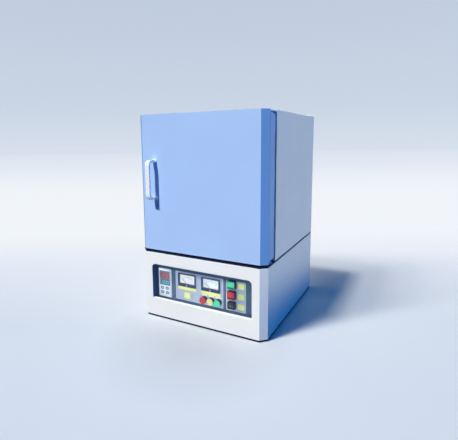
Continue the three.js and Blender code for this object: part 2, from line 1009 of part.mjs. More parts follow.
function handleSolid() {
  const z0 = doorBottom + handle.up - handle.height / 2;
  const z1 = z0 + handle.height;
  const front = skinFront - handle.reach;
  const shape = new THREE.Shape();
  shape.moveTo(skinFront, z0);
  shape.absarc(front + handle.bend, z0 + handle.bend, handle.bend, 1.5 * Math.PI, Math.PI, true);
  shape.absarc(front + handle.bend, z1 - handle.bend, handle.bend, Math.PI, Math.PI / 2, true);
  shape.lineTo(skinFront, z1);
  shape.lineTo(skinFront, z1 - handle.bar);
  const inner = handle.bend - handle.bar;
  shape.absarc(front + handle.bend, z1 - handle.bend, inner, Math.PI / 2, Math.PI);
  shape.absarc(front + handle.bend, z0 + handle.bend, inner, Math.PI, 1.5 * Math.PI);
  shape.lineTo(skinFront, z0 + handle.bar);
  return spread(shape, handleX - handle.width / 2, handleX + handle.width / 2);
}

// Pivots: a pin with a thrust washer on the deck, and an arm from the mouth frame with a pin pointing down
function makePivots() {
  piece(
    "hinge_pin",
    joined([
      barZ(pivotX, pivotY, pivot.washer, deckTop, panBottom - gap),
      barZ(pivotX, pivotY, pivot.pin, deckTop, panBottom + pivot.bossDepth),
    ]),
    material.steel,
  );
  const armBottom = panTop + gap;
  piece(
    "hinge_arm",
    joined([
      box(
        pivotX - pivot.armHalf,
        pivotX + pivot.armHalf,
        pivotY,
        caseFront,
        armBottom,
        armBottom + pivot.arm,
      ),
      barZ(pivotX, pivotY, pivot.armHalf, armBottom, armBottom + pivot.arm),
      box(
        pivotX - pivot.armHalf,
        pivotX + pivot.armHalf,
        caseFront - pivot.leg,
        caseFront,
        armBottom - pivot.legDrop,
        armBottom,
      ),
      barZ(pivotX, pivotY, pivot.pin, panTop - pivot.bossDepth, armBottom),
    ]),
    material.steel,
  );
}

// Control panel: a slate tray behind the window, with a controller, a plate of meters and lamps,
// and a plate of switches
const meterPlate = { x0: -100, x1: 74, down: 19, height: 95, thickness: 1.2 };
const meterPlateLeft = meterPlate.x0 * across;
const meterPlateRight = meterPlate.x1 * across;
const buttonPlate = { x0: 84, x1: 149, corner: 4 };
const buttonPlateLeft = buttonPlate.x0 * across;
const buttonPlateRight = buttonPlate.x1 * across;
const controller = {
  x: -141,
  drop: 7.3,
  width: 48,
  height: 96,
  proud: 5,
  bodyWidth: 45,
  bodyHeight: 92,
  bodyDepth: 78,
  edge: 2,
};
const controllerX = controller.x * across;
const display = { width: 40, height: 49, down: 8, depth: 1 };
const key = { width: 13, height: 10, corner: 4.5, travel: 0.8, depth: 3, column: 9.5, row: 15.5, down: 66 };
const meter = {
  width: 66,
  height: 44,
  proud: 4.5,
  top: 4,
  bodyWidth: 62,
  bodyHeight: 42,
  bodyDepth: 36,
  left: -55,
  right: 31,
};
const leftMeterX = meter.left * across;
const rightMeterX = meter.right * across;
const meterWindow = { width: 57, height: 30, top: 4, depth: 5.2, cover: 1.5, pocket: 8, pocketHalf: 7 };
const needle = { length: 27, width: 1, hub: 3, thickness: 1.2, below: 4, rest: Math.PI / 4 };
const lamp = {
  x: 32.7,
  pitch: 25,
  drop: 37.5,
  lens: 10,
  proud: 16,
  shoulder: 3,
  dome: 1.6,
  stem: 7.5,
  depth: 34,
};
const lampX = lamp.x * across;
const switches = {
  x: 105,
  drop: 3.3,
  pitch: 32.5,
  bezel: 13,
  bezelDepth: 7,
  wall: 1.4,
  stem: 7,
  depth: 34,
  corner: 3,
};
const switchesX = switches.x * across;
const button = { half: 11, corner: 2.5, proud: 13, travel: 3 };
const keySwitch = {
  halfWidth: 12.5,
  halfHeight: 11.5,
  proud: 10,
  barrel: 7,
  barrelProud: 2.5,
  barrelDepth: 5,
  slotWidth: 1.6,
  slotLength: 9,
  slotDepth: 1.5,
};

const plateTop = recessMid + recess.height / 2 - meterPlate.down;

function makePanel() {
  const w = recessHalf + panel.margin;
  const h = recess.height / 2 + panel.margin;
  const stems = stemPlaces();
  const through = (y0, y1, clearance) => [
    ...stems.map(({ x, z, radius }) => barY(x, z, radius + clearance, y0, y1)),
    ...meterPlaces().map(({ x, z }) =>
      box(
        x - meter.bodyWidth / 2 - clearance,
        x + meter.bodyWidth / 2 + clearance,
        y0,
        y1,
        z - meter.bodyHeight / 2 - clearance,
        z + meter.bodyHeight / 2 + clearance,
      ),
    ),
  ];
  const controllerHole = box(
    controllerX - controller.bodyWidth / 2 - gap,
    controllerX + controller.bodyWidth / 2 + gap,
    panelFront - cabinet.overrun,
    panelRear + cabinet.overrun,
    recessMid - controller.drop - controller.bodyHeight / 2 - gap,
    recessMid - controller.drop + controller.bodyHeight / 2 + gap,
  );
  const wall = pushed(windowOutline(cabinet.sheet), cabinet.sheet, panelFront);
  const open = pushed(windowOutline(), cabinet.sheet - cabinet.overrun, panelFront);
  const plate = box(-w, w, panelFront, panelRear, recessMid - h, recessMid + h);
  const openings = through(panelFront - cabinet.overrun, panelRear + cabinet.overrun, gap);
  const tray = joined([cut(wall, [open]), plate]);
  piece("control_panel", cut(tray, [...openings, controllerHole]), material.slate);

  const plateY0 = panelFront - meterPlate.thickness;
  const cutters = through(plateY0 - cabinet.overrun, panelFront + cabinet.overrun, gap);
  const meters = box(
    meterPlateLeft,
    meterPlateRight,
    plateY0,
    panelFront,
    plateTop - meterPlate.height,
    plateTop,
  );
  piece("meter_plate", cut(meters, cutters), material.plate);
  const buttons = pushed(
    roundedOutline(
      buttonPlateLeft,
      buttonPlateRight,
      plateTop - meterPlate.height,
      plateTop,
      buttonPlate.corner,
    ),
    plateY0,
    panelFront,
  );
  piece("button_plate", cut(buttons, cutters), material.plate);
}

// Round stems that pass through the panel: three lamps and three switches
function stemPlaces() {
  const lamps = lampPlaces().map((place) => ({ ...place, radius: lamp.stem }));
  const stems = switchPlaces().map((place) => ({ ...place, radius: switches.stem }));
  return [...lamps, ...stems];
}

function lampPlaces() {
  return [-1, 0, 1].map((i) => ({ x: lampX + i * lamp.pitch, z: recessMid - lamp.drop }));
}

function switchPlaces() {
  return [1, 0, -1].map((i) => ({ x: switchesX, z: recessMid - switches.drop + i * switches.pitch }));
}

function meterPlaces() {
  const z = plateTop - meter.top - meter.height / 2;
  return [
    { x: leftMeterX, z },
    { x: rightMeterX, z },
  ];
}

function makeController() {
  const z0 = recessMid - controller.drop - controller.height / 2;
  const z1 = z0 + controller.height;
  const x = controllerX;
  const front = panelFront - controller.proud;
  const halfBody = { w: controller.bodyWidth / 2, h: controller.bodyHeight / 2 };
  const middle = (z0 + z1) / 2;
  const bezel = pushed(
    roundedOutline(x - controller.width / 2, x + controller.width / 2, z0, z1, controller.edge),
    front,
    panelFront,
  );
  const body = box(
    x - halfBody.w,
    x + halfBody.w,
    panelFront - controller.edge,
    panelFront + controller.bodyDepth,
    middle - halfBody.h,
    middle + halfBody.h,
  );
  const screen = box(
    x - display.width / 2,
    x + display.width / 2,
    front - cabinet.overrun,
    front + display.depth,
    z1 - display.down - display.height,
    z1 - display.down,
  );
  const keys = keyPlaces(x, z1);
  const pockets = keys.map((place) =>
    pushed(keyOutline(place, gap), front - cabinet.overrun, front + key.depth + key.travel + gap),
  );
  piece("controller_case", cut(joined([bezel, body]), [screen, ...pockets]), material.white);
  keys.forEach((place, i) => {
    const cap = pushed(keyOutline(place, 0), front - key.travel, front + key.depth);
    piece(`controller_key_${i + 1}`, cap, material.white);
  });
}

function keyPlaces(x, top) {
  const places = [];
  for (const row of [0, 1]) {
    for (const side of [-1, 1]) {
      places.push({ x: x + side * key.column, z: top - key.down - row * key.row });
    }
  }
  return places;
}

function keyOutline({ x, z }, grow) {
  return roundedOutline(
    x - key.width / 2 - grow,
    x + key.width / 2 + grow,
    z - key.height / 2 - grow,
    z + key.height / 2 + grow,
    key.corner + grow,
  );
}

// Moving-coil meters: a black case with a window, and a needle that lies left of upright at zero
function makeMeters() {
  const names = ["ammeter", "voltmeter"];
  const plateFront = panelFront - meterPlate.thickness;
  const front = plateFront - meter.proud;
  meterPlaces().forEach(({ x, z }, i) => {
    const top = z + meter.height / 2;
    const windowTop = top - meterWindow.top;
    const windowBottom = windowTop - meterWindow.height;
    const bezel = box(x - meter.width / 2, x + meter.width / 2, front, plateFront, top - meter.height, top);
    const body = box(
      x - meter.bodyWidth / 2,
      x + meter.bodyWidth / 2,
      plateFront - cabinet.sheet / 2,
      panelFront + meter.bodyDepth,
      z - meter.bodyHeight / 2,
      z + meter.bodyHeight / 2,
    );
    const open = box(
      x - meterWindow.width / 2,
      x + meterWindow.width / 2,
      front - cabinet.overrun,
      front + meterWindow.depth,
      windowBottom,
      windowTop,
    );
    const pocket = box(
      x - meterWindow.pocketHalf,
      x + meterWindow.pocketHalf,
      front + meterWindow.cover,
      front + meterWindow.depth,
      windowBottom - meterWindow.pocket,
      windowBottom + cabinet.overrun,
    );
    piece(`${names[i]}_case`, cut(joined([bezel, body]), [open, pocket]), material.black);

    const rear = front + meterWindow.depth - gap;
    const blade = new THREE.BoxGeometry(needle.width, needle.thickness, needle.length);
    blade.translate(0, 0, needle.length / 2);
    blade.rotateY(-needle.rest);
    blade.translate(x, rear - needle.thickness / 2, windowBottom - needle.below);
    const hub = barY(x, windowBottom - needle.below, needle.hub, rear - needle.thickness, rear);
    piece(`${names[i]}_needle`, joined([solidOf(blade), hub]), material.black);
  });
}

function makeLamps() {
  const names = ["lamp_red", "lamp_amber", "lamp_green"];
  const looks = [material.red, material.amber, material.green];
  const seat = panelFront - meterPlate.thickness;
  const front = seat - lamp.proud;
  lampPlaces().forEach(({ x, z }, i) => {
    const profile = [
      [0, front],
      [lamp.lens - lamp.shoulder, front + lamp.dome - gap],
      [lamp.lens - gap, front + lamp.shoulder],
      [lamp.lens, front + lamp.shoulder + lamp.dome],
      [lamp.lens, seat],
      [lamp.stem, seat],
      [lamp.stem, seat + lamp.depth],
      [0, seat + lamp.depth],
    ];
    piece(names[i], turnedY(x, z, profile, round.fine), looks[i]);
  });
}

// Two sprung push buttons in square bezels, and a key switch with a turning barrel
function makeSwitches() {
  const seat = panelFront - meterPlate.thickness;
  const [startPlace, stopPlace, keyPlace] = switchPlaces();
  for (const [name, place, look] of [
    ["start", startPlace, material.green],
    ["stop", stopPlace, material.red],
  ]) {
    const { x, z } = place;
    const half = switches.bezel;
    const hollow = button.half + gap;
    const frame = pushed(
      roundedOutline(x - half, x + half, z - half, z + half, switches.corner),
      seat - switches.bezelDepth,
      seat,
    );
    const tube = barY(x, z, switches.stem, seat - switches.wall, seat + switches.depth, round.fine);
    const well = pushed(
      roundedOutline(x - hollow, x + hollow, z - hollow, z + hollow, button.corner),
      seat - switches.bezelDepth - cabinet.overrun,
      seat - switches.wall,
    );
    const guide = barY(
      x,
      z,
      switches.stem - switches.wall + gap,
      seat - switches.wall - gap,
      seat + switches.depth - switches.wall,
    );
    piece(`${name}_bezel`, cut(joined([cut(frame, [well]), tube]), [guide]), material.black);

    const capFront = seat - button.proud;
    const capRear = seat - switches.wall - button.travel - gap;
    const cap = pushed(
      roundedOutline(x - button.half, x + button.half, z - button.half, z + button.half, button.corner),
      capFront,
      capRear,
    );
    const stem = barY(
      x,
      z,
      switches.stem - switches.wall,
      capRear - gap,
      seat + switches.depth - switches.wall - button.travel - gap,
    );
    piece(`${name}_button`, joined([cap, stem]), look);
  }

  const { x, z } = keyPlace;
  const s = keySwitch;
  const front = seat - s.proud;
  const barrelBore = barY(
    x,
    z,
    s.barrel + gap,
    front - cabinet.overrun,
    front + s.barrelDepth + gap,
    round.fine,
  );
  piece(
    "key_switch",
    cut(
      joined([
        pushed(
          roundedOutline(
            x - s.halfWidth,
            x + s.halfWidth,
            z - s.halfHeight,
            z + s.halfHeight,
            switches.corner,
          ),
          front,
          seat,
        ),
        barY(x, z, switches.stem, seat - switches.wall, seat + switches.depth, round.fine),
      ]),
      [barrelBore],
    ),
    material.black,
  );
  const barrel = barY(x, z, s.barrel, front - s.barrelProud, front + s.barrelDepth, round.fine);
  const slot = box(
    x - s.slotWidth / 2,
    x + s.slotWidth / 2,
    front - s.barrelProud - cabinet.overrun,
    front - s.barrelProud + s.slotDepth,
    z - s.slotLength / 2,
    z + s.slotLength / 2,
  );
  piece("key_barrel", cut(barrel, [slot]), material.steel);
}

makePlinth();
makeBase();
makeSupply();
makeCasing();
makeChamber();
makeFittings();
makeSeal();
makePivots();
makePanel();
makeController();
makeMeters();
makeLamps();
makeSwitches();
makeDoor();

// The furnace stands centred on the origin, between the front of its handle and its rear fittings
const frontReach = skinFront - handle.reach;
furnace.position.y = -(frontReach + rearReach) / 2;

export default furnace;
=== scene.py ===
# The furnace's looks: a camera, soft studio light, procedural materials and the small details,
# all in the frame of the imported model, in metres.
import json
import math

import bmesh
import bpy
from mathutils import Matrix, Vector


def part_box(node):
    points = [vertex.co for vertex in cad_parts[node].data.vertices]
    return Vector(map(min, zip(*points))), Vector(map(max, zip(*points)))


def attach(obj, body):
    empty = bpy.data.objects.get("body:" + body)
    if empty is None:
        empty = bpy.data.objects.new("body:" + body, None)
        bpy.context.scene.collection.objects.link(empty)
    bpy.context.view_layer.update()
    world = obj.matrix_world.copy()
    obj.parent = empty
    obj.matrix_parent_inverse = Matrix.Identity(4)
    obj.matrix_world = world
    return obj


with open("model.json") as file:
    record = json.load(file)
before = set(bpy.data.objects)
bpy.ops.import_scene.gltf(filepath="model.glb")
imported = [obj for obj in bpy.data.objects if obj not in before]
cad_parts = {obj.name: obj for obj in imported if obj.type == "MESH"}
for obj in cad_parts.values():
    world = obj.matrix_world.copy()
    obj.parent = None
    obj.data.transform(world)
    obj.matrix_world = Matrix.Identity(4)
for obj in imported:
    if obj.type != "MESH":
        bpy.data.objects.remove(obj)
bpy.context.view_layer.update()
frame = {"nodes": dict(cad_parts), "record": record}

scene = bpy.context.scene
nodes = frame["nodes"]
slot_of = {part["node"]: part["material_slot"] for part in frame["record"]["subparts"]}
MM = 0.001


# Colours are written as sRGB numbers from 0 to 255
def linear(colour):
    shares = [c / 255 for c in colour]
    return tuple(c / 12.92 if c <= 0.04045 else ((c + 0.055) / 1.055) ** 2.4 for c in shares) + (1.0,)


# Camera: where it stands, and its three directions
camera_place = Vector((0.5825, -1.2245, 0.5824))
right = Vector((0.87283454, 0.48785414, -0.01257796))
down = Vector((0.05901741, -0.13110417, -0.98961035))
ahead = Vector((-0.48443453, 0.86302377, -0.14322414))
camera = bpy.data.objects.new("camera", bpy.data.cameras.new("camera"))
scene.collection.objects.link(camera)
turn = Matrix((right, -down, -ahead)).transposed().to_4x4()
camera.matrix_world = Matrix.Translation(camera_place) @ turn
camera.data.sensor_fit = "HORIZONTAL"
camera.data.sensor_width = 36
camera.data.lens = 30.187
camera.data.shift_x = 0.0479
camera.data.shift_y = -0.0530
camera.data.clip_end = 100
scene.camera = camera
scene.view_settings.view_transform = "Standard"


# Nodes of a material or the world
def node(tree, kind, inputs=None, **settings):
    made = tree.nodes.new(kind)
    for key, value in settings.items():
        setattr(made, key, value)
    for key, value in (inputs or {}).items():
        if isinstance(value, bpy.types.NodeSocket):
            tree.links.new(value, made.inputs[key])
        else:
            made.inputs[key].default_value = value
    return made


def maths(tree, kind, *values):
    return node(tree, "ShaderNodeMath", dict(enumerate(values)), operation=kind).outputs[0]


def mixed(tree, share, first, second):
    made = node(tree, "ShaderNodeMix", data_type="RGBA")
    for key, value in ((0, share), (6, first), (7, second)):
        if isinstance(value, bpy.types.NodeSocket):
            tree.links.new(value, made.inputs[key])
        else:
            made.inputs[key].default_value = value
    return made.outputs[2]


def spread(tree, value, low, high, first, last):
    inputs = {"Value": value, "From Min": low, "From Max": high, "To Min": first, "To Max": last}
    return node(tree, "ShaderNodeMapRange", inputs).outputs[0]


def noise(tree, place, size, detail=2.0, stretch=(1, 1, 1)):
    scaled = node(tree, "ShaderNodeVectorMath", {0: place, 1: stretch}, operation="MULTIPLY").outputs[0]
    inputs = {"Vector": scaled, "Scale": 1 / size, "Detail": detail}
    return node(tree, "ShaderNodeTexNoise", inputs).outputs["Fac"]


def ramp(tree, value, stops):
    made = node(tree, "ShaderNodeValToRGB", {"Fac": value})
    elements = made.color_ramp.elements
    while len(elements) < len(stops):
        elements.new(0.5)
    for element, (place, colour) in zip(elements, stops):
        element.position = place
        element.color = linear(colour)
    return made.outputs[0]


def edge_mask(tree, radius):
    rounded = node(tree, "ShaderNodeBevel", {"Radius": radius}, samples=4).outputs[0]
    straight = node(tree, "ShaderNodeNewGeometry").outputs["Normal"]
    alike = node(tree, "ShaderNodeVectorMath", {0: rounded, 1: straight}, operation="DOT_PRODUCT")
    return spread(tree, alike.outputs["Value"], 0.995, 0.86, 0.0, 1.0)


# Where most of a noise's values lie, and where those that show as patches begin and end
noise_range = (0.3, 0.7)
broad_range = (0.35, 0.65)
patch_range = (0.42, 0.62)


# A finished surface: broad and fine changes of tone, uneven gloss, fine relief, lighter edges (wear on most
# finishes, a painted highlight on the red and green plastics), deeper sides and a glow
def surface(name, colour, rough, metal=0.0, tone=0.05, tone_size=0.15, grain=0.0012, relief=0.00003,
            stretch=(1, 1, 1), edge_wear_and_highlight=None, edge_wear_and_highlight_share=0.35, coat=0.0, glow=None, glow_power=0.0, soft=0.0,
            outer=None, shaded_side_from=0.2012, strands=0.0, shine=0.3):
    material = bpy.data.materials.new(name)
    material.use_nodes = True
    tree = material.node_tree
    shader = tree.nodes["Principled BSDF"]
    place = node(tree, "ShaderNodeTexCoord").outputs["Object"]
    fine = noise(tree, place, grain, 2.0, stretch)
    if strands:
        twist = node(tree, "ShaderNodeTexWave", {"Vector": place, "Scale": 0.31 / strands, "Distortion": 1.2,
                                                 "Detail Scale": 3.0}, bands_direction="DIAGONAL")
        fine = maths(tree, "MULTIPLY_ADD", twist.outputs["Fac"], 0.6, maths(tree, "MULTIPLY", fine, 0.4))
    paint = linear(colour)[:3]
    # Far enough across the object, the colour turns to outer: painted shade on the door's chamfers and sides
    if outer:
        across = node(tree, "ShaderNodeSeparateXYZ", {0: place}).outputs["X"]
        on_shaded_side = maths(tree, "GREATER_THAN", maths(tree, "ABSOLUTE", across), shaded_side_from)
        paint = mixed(tree, on_shaded_side, linear(colour), linear(outer))
    fine_tone = tone * 0.6
    broad = spread(tree, noise(tree, place, tone_size, 3.0), *broad_range, 1 - tone, 1 + tone)
    shade = maths(tree, "MULTIPLY", broad, spread(tree, fine, *noise_range, 1 - fine_tone, 1 + fine_tone))
    finished = node(tree, "ShaderNodeVectorMath", {0: paint, "Scale": shade}, operation="SCALE").outputs[0]
    # Lighter edges: wear, and a painted highlight on the red and green plastics
    if edge_wear_and_highlight:
        patch_size, edge_radius = 0.009, 0.0012
        patchy = spread(tree, noise(tree, place, patch_size, 4.0), *patch_range, 0.0, 1.0)
        edge_wear_and_highlight_mask = maths(tree, "MULTIPLY", edge_mask(tree, edge_radius), patchy)
        share = maths(tree, "MULTIPLY", edge_wear_and_highlight_mask, edge_wear_and_highlight_share)
        finished = mixed(tree, share, finished, linear(edge_wear_and_highlight))
    tree.links.new(finished, shader.inputs["Base Color"])
    smudge_size, fine_gloss = 0.06, 0.03
    smudged = spread(tree, noise(tree, place, smudge_size, 4.0), *noise_range, *rough)
    gloss = maths(tree, "ADD", smudged, spread(tree, fine, *noise_range, -fine_gloss, fine_gloss))
    tree.links.new(gloss, shader.inputs["Roughness"])
    bump = node(tree, "ShaderNodeBump", {"Height": fine, "Distance": relief, "Strength": 1.0})
    tree.links.new(bump.outputs[0], shader.inputs["Normal"])
    shader.inputs["Metallic"].default_value = metal
    shader.inputs["Coat Weight"].default_value = coat
    shader.inputs["Coat Roughness"].default_value = 0.12
    shader.inputs["Specular IOR Level"].default_value = 0.5 if metal else shine
    shader.inputs["Subsurface Weight"].default_value = soft
    shader.inputs["Subsurface Scale"].default_value = 0.004
    # A glow: the light of the controller's digits, and painted light on the dials
    if glow:
        shader.inputs["Emission Color"].default_value = linear(glow)
        shader.inputs["Emission Strength"].default_value = glow_power
    return material


slot_looks = {
    # The door's chamfers and sides take a deeper blue: painted shade
    "door_paint": surface("door_paint", (171, 201, 247), (0.34, 0.46), tone=0.02, edge_wear_and_highlight=(205, 224, 250),
                          outer=(101, 151, 209)),
    "case_paint": surface("case_paint", (236, 239, 243), (0.46, 0.6), tone=0.02, edge_wear_and_highlight=(247, 248, 250),
                          shine=0.12),
    "front_paint": surface("front_paint", (240, 242, 244), (0.34, 0.46), tone=0.015, edge_wear_and_highlight=(250, 250, 250)),
    "slate_paint": surface("slate_paint", (72, 98, 130), (0.4, 0.55), tone=0.05, edge_wear_and_highlight=(120, 142, 172)),
    "plate_paint": surface("plate_paint", (170, 186, 212), (0.35, 0.5), tone=0.03, edge_wear_and_highlight=(214, 224, 240)),
    "black_rubber": surface("black_rubber", (38, 44, 58), (0.6, 0.8), tone=0.2, grain=0.0006, relief=0.00008),
    "fibre_board": surface("fibre_board", (240, 237, 228), (0.9, 0.98), tone=0.05, grain=0.0014,
                           relief=0.0004, stretch=(0.35, 1, 1)),
    "fibre_rope": surface("fibre_rope", (229, 224, 210), (0.9, 0.98), tone=0.12, grain=0.0009,
                          relief=0.0007, strands=0.0032),
    "hearth_ceramic": surface("hearth_ceramic", (228, 218, 202), (0.7, 0.85), tone=0.08, grain=0.0009,
                              relief=0.00015),
    "element": surface("element", (98, 98, 104), (0.45, 0.65), tone=0.25, grain=0.0007, relief=0.0001),
    "steel": surface("steel", (190, 193, 198), (0.25, 0.36), metal=1.0, tone=0.06, grain=0.0003,
                     relief=0.00001, stretch=(0.04, 1, 1)),
    "chrome": surface("chrome", (236, 239, 243), (0.1, 0.2), metal=1.0, tone=0.02, grain=0.0005,
                      relief=0.000004, stretch=(1, 1, 0.05)),
    "brass": surface("brass", (208, 180, 116), (0.22, 0.38), metal=1.0, tone=0.12, tone_size=0.012,
                     grain=0.0004, relief=0.00001),
    "black_plastic": surface("black_plastic", (30, 37, 56), (0.34, 0.48), tone=0.08, grain=0.0005,
                             relief=0.00003, edge_wear_and_highlight=(80, 86, 104), edge_wear_and_highlight_share=0.5),
    "white_plastic": surface("white_plastic", (228, 238, 248), (0.28, 0.4), tone=0.02, grain=0.0006,
                             relief=0.00002),
    # The red and green plastics' lighter edges are a painted highlight
    "red_plastic": surface("red_plastic", (234, 76, 88), (0.16, 0.28), tone=0.05, grain=0.0008,
                           relief=0.00001, soft=0.3, coat=0.3, edge_wear_and_highlight=(252, 170, 180), edge_wear_and_highlight_share=0.7),
    "amber_plastic": surface("amber_plastic", (240, 238, 172), (0.16, 0.28), tone=0.04, grain=0.0008,
                             relief=0.00001, soft=0.3, coat=0.3),
    "green_plastic": surface("green_plastic", (96, 242, 188), (0.16, 0.28), tone=0.05, grain=0.0008,
                             relief=0.00001, soft=0.3, coat=0.3, edge_wear_and_highlight=(190, 250, 225), edge_wear_and_highlight_share=0.5),
    "core_steel": surface("core_steel", (96, 100, 108), (0.4, 0.55), metal=0.8, tone=0.2, grain=0.0006,
                          relief=0.0002, stretch=(0.02, 1, 0.02)),
    "aluminium": surface("aluminium", (200, 203, 208), (0.3, 0.42), metal=1.0, tone=0.05, grain=0.0004,
                         relief=0.00001, stretch=(1, 0.03, 1)),
}
# A deeper blue for the door's pan: painted shade on its sideways faces; the hinge arm and pin take it too, to
# match the pan
pan_blue = surface("pan_blue", (140, 180, 232), (0.4, 0.52), tone=0.025, edge_wear_and_highlight=(190, 214, 246), shine=0.15)
label_yellow = surface("label_yellow", (230, 238, 158), (0.3, 0.4), tone=0.03, grain=0.0008,
                       relief=0.00001)
label_cream = surface("label_cream", (234, 230, 210), (0.3, 0.4), tone=0.03, grain=0.0008,
                      relief=0.00001)
meter_navy = surface("meter_navy", (44, 62, 100), (0.3, 0.42), tone=0.06, grain=0.0005, relief=0.00002,
                     edge_wear_and_highlight=(120, 140, 180), edge_wear_and_highlight_share=0.5)
needle_grey = surface("needle_grey", (140, 146, 164), (0.35, 0.5), tone=0.05, grain=0.0004)
barrel_dark = surface("barrel_dark", (50, 54, 74), (0.3, 0.42), tone=0.12, grain=0.0003, relief=0.00001)
# The chrome handle and its feet in near-white: painted reflection of a bright room
handle_painted_reflection = surface("handle_painted_reflection", (247, 249, 252), (0.22, 0.32), metal=0.25, tone=0.02, grain=0.0005,
                       relief=0.000004, stretch=(1, 1, 0.05), shine=0.5)
frame_paint = surface("frame_paint", (206, 213, 224), (0.4, 0.52), tone=0.03, edge_wear_and_highlight=(236, 240, 246),
                      shine=0.15)
# A navy bead in the gap between the door's skin and pan: painted shade
gap_shade_blue = surface("gap_shade_blue", (44, 78, 146), (0.45, 0.6), tone=0.04, grain=0.0008, relief=0.00002,
                    shine=0.15)
# Dark seam strip and plinth, and painted shade on the deck plate under the door
seam_dark_and_shade = surface("seam_dark_and_shade", (20, 34, 66), (0.5, 0.65), tone=0.08, grain=0.0006, relief=0.00002,
                    shine=0.1)
# Darker lips along the foot of the push buttons' caps: painted shade
shade_green = surface("shade_green", (18, 104, 100), (0.3, 0.4), tone=0.05, grain=0.0008, relief=0.00001)
shade_red = surface("shade_red", (118, 22, 54), (0.3, 0.4), tone=0.05, grain=0.0008, relief=0.00001)
# The dials glow a little: painted light
dial_white_glow = surface("dial_white_glow", (252, 252, 254), (0.5, 0.6), tone=0.01, grain=0.0004, relief=0.000004,
                     glow=(238, 244, 255), glow_power=0.1)
print_dark = surface("print_dark", (132, 140, 158), (0.5, 0.6), tone=0.1, grain=0.0004, relief=0.000004)
ring_navy = surface("ring_navy", (46, 68, 98), (0.35, 0.45), tone=0.1, grain=0.0004, relief=0.00001)
glass_red = surface("glass_red", (122, 98, 112), (0.08, 0.14), tone=0.1, grain=0.0006, relief=0.000002)
glass_teal = surface("glass_teal", (84, 128, 152), (0.08, 0.14), tone=0.1, grain=0.0006, relief=0.000002)
glass_slate = surface("glass_slate", (110, 124, 150), (0.08, 0.14), tone=0.1, grain=0.0006,
                      relief=0.000002)
digit_red = surface("digit_red", (206, 96, 112), (0.3, 0.4), tone=0.05, glow=(206, 96, 112),
                    glow_power=0.15)
digit_teal = surface("digit_teal", (132, 196, 212), (0.3, 0.4), tone=0.05, glow=(132, 196, 212),
                     glow_power=0.12)
lip_white = surface("lip_white", (252, 252, 252), (0.34, 0.46), tone=0.01)
# A pale colour for the plates' raised borders and the key switch's dot: painted highlight
painted_highlight = surface("painted_highlight", (206, 218, 238), (0.35, 0.45), tone=0.03)


# Thin clear window: see-through, with the gloss of its face
def clear_glass():
    material = bpy.data.materials.new("clear_glass")
    material.use_nodes = True
    tree = material.node_tree
    tree.nodes.remove(tree.nodes["Principled BSDF"])
    place = node(tree, "ShaderNodeTexCoord").outputs["Object"]
    smear = spread(tree, noise(tree, place, 0.03, 3.0), *noise_range, 0.02, 0.07)
    tint = mixed(tree, noise(tree, place, 0.02, 2.0), linear((251, 253, 254)), linear((254, 255, 255)))
    through = node(tree, "ShaderNodeBsdfTransparent", {"Color": tint})
    shine = node(tree, "ShaderNodeBsdfGlossy", {"Roughness": smear})
    facing = node(tree, "ShaderNodeLayerWeight", {"Blend": 0.5}).outputs["Facing"]
    straight_on = 0.04
    gloss = maths(tree, "MULTIPLY_ADD", maths(tree, "POWER", facing, 5.0), 1 - straight_on, straight_on)
    both = node(tree, "ShaderNodeMixShader", {0: gloss, 1: through.outputs[0], 2: shine.outputs[0]})
    tree.links.new(both.outputs[0], tree.nodes["Material Output"].inputs["Surface"])
    return material


window_glass = clear_glass()


# CAD nodes: finish by slot, and edges rounded as pressed and moulded edges are
def weld_group(reach):
    tree = bpy.data.node_groups.new("weld", "GeometryNodeTree")
    tree.interface.new_socket("Geometry", in_out="INPUT", socket_type="NodeSocketGeometry")
    tree.interface.new_socket("Geometry", in_out="OUTPUT", socket_type="NodeSocketGeometry")
    came = tree.nodes.new("NodeGroupInput").outputs[0]
    bare = node(tree, "GeometryNodeRemoveAttribute", {"Geometry": came, "Name": "custom_normal"})
    whole = node(tree, "GeometryNodeMergeByDistance", {"Geometry": bare.outputs[0], "Distance": reach})
    smooth = node(tree, "GeometryNodeSetShadeSmooth", {"Geometry": whole.outputs[0]})
    tree.links.new(smooth.outputs[0], tree.nodes.new("NodeGroupOutput").inputs[0])
    return tree


welding = weld_group(0.002 * MM)
least_corner = math.radians(32)


def round_edges(obj, width):
    bevel = obj.modifiers.new("bevel", "BEVEL")
    bevel.width = width
    bevel.segments = 2
    bevel.limit_method = "ANGLE"
    bevel.angle_limit = least_corner
    bevel.use_clamp_overlap = True
    bevel.harden_normals = False
    weighted = obj.modifiers.new("weighted", "WEIGHTED_NORMAL")
    weighted.keep_sharp = True
    weighted.weight = 100


usual_edge = 0.4
edge_widths = {
    "door_skin": 2.0, "door_pan": 1.0, "case_cover": 0.8, "base_front": 2.2, "base_side_left": 0.5,
    "base_side_right": 0.5, "deck_plate": 0.5, "plinth": 0.8, "seam_strip": 0.3, "door_handle": 2.4,
    "start_button": 1.6, "stop_button": 1.6, "start_bezel": 0.8, "stop_bezel": 0.8, "key_switch": 1.2,
    "controller_case": 1.2, "ammeter_case": 0.8, "voltmeter_case": 0.8, "meter_plate": 0.3,
    "button_plate": 0.3, "ammeter_needle": 0.1, "voltmeter_needle": 0.1, "lamp_red": 1.5,
    "lamp_amber": 1.5, "lamp_green": 1.5, "door_plug": 2.0, "insulation_roof": 1.0, "hearth_plate": 0.8,
}
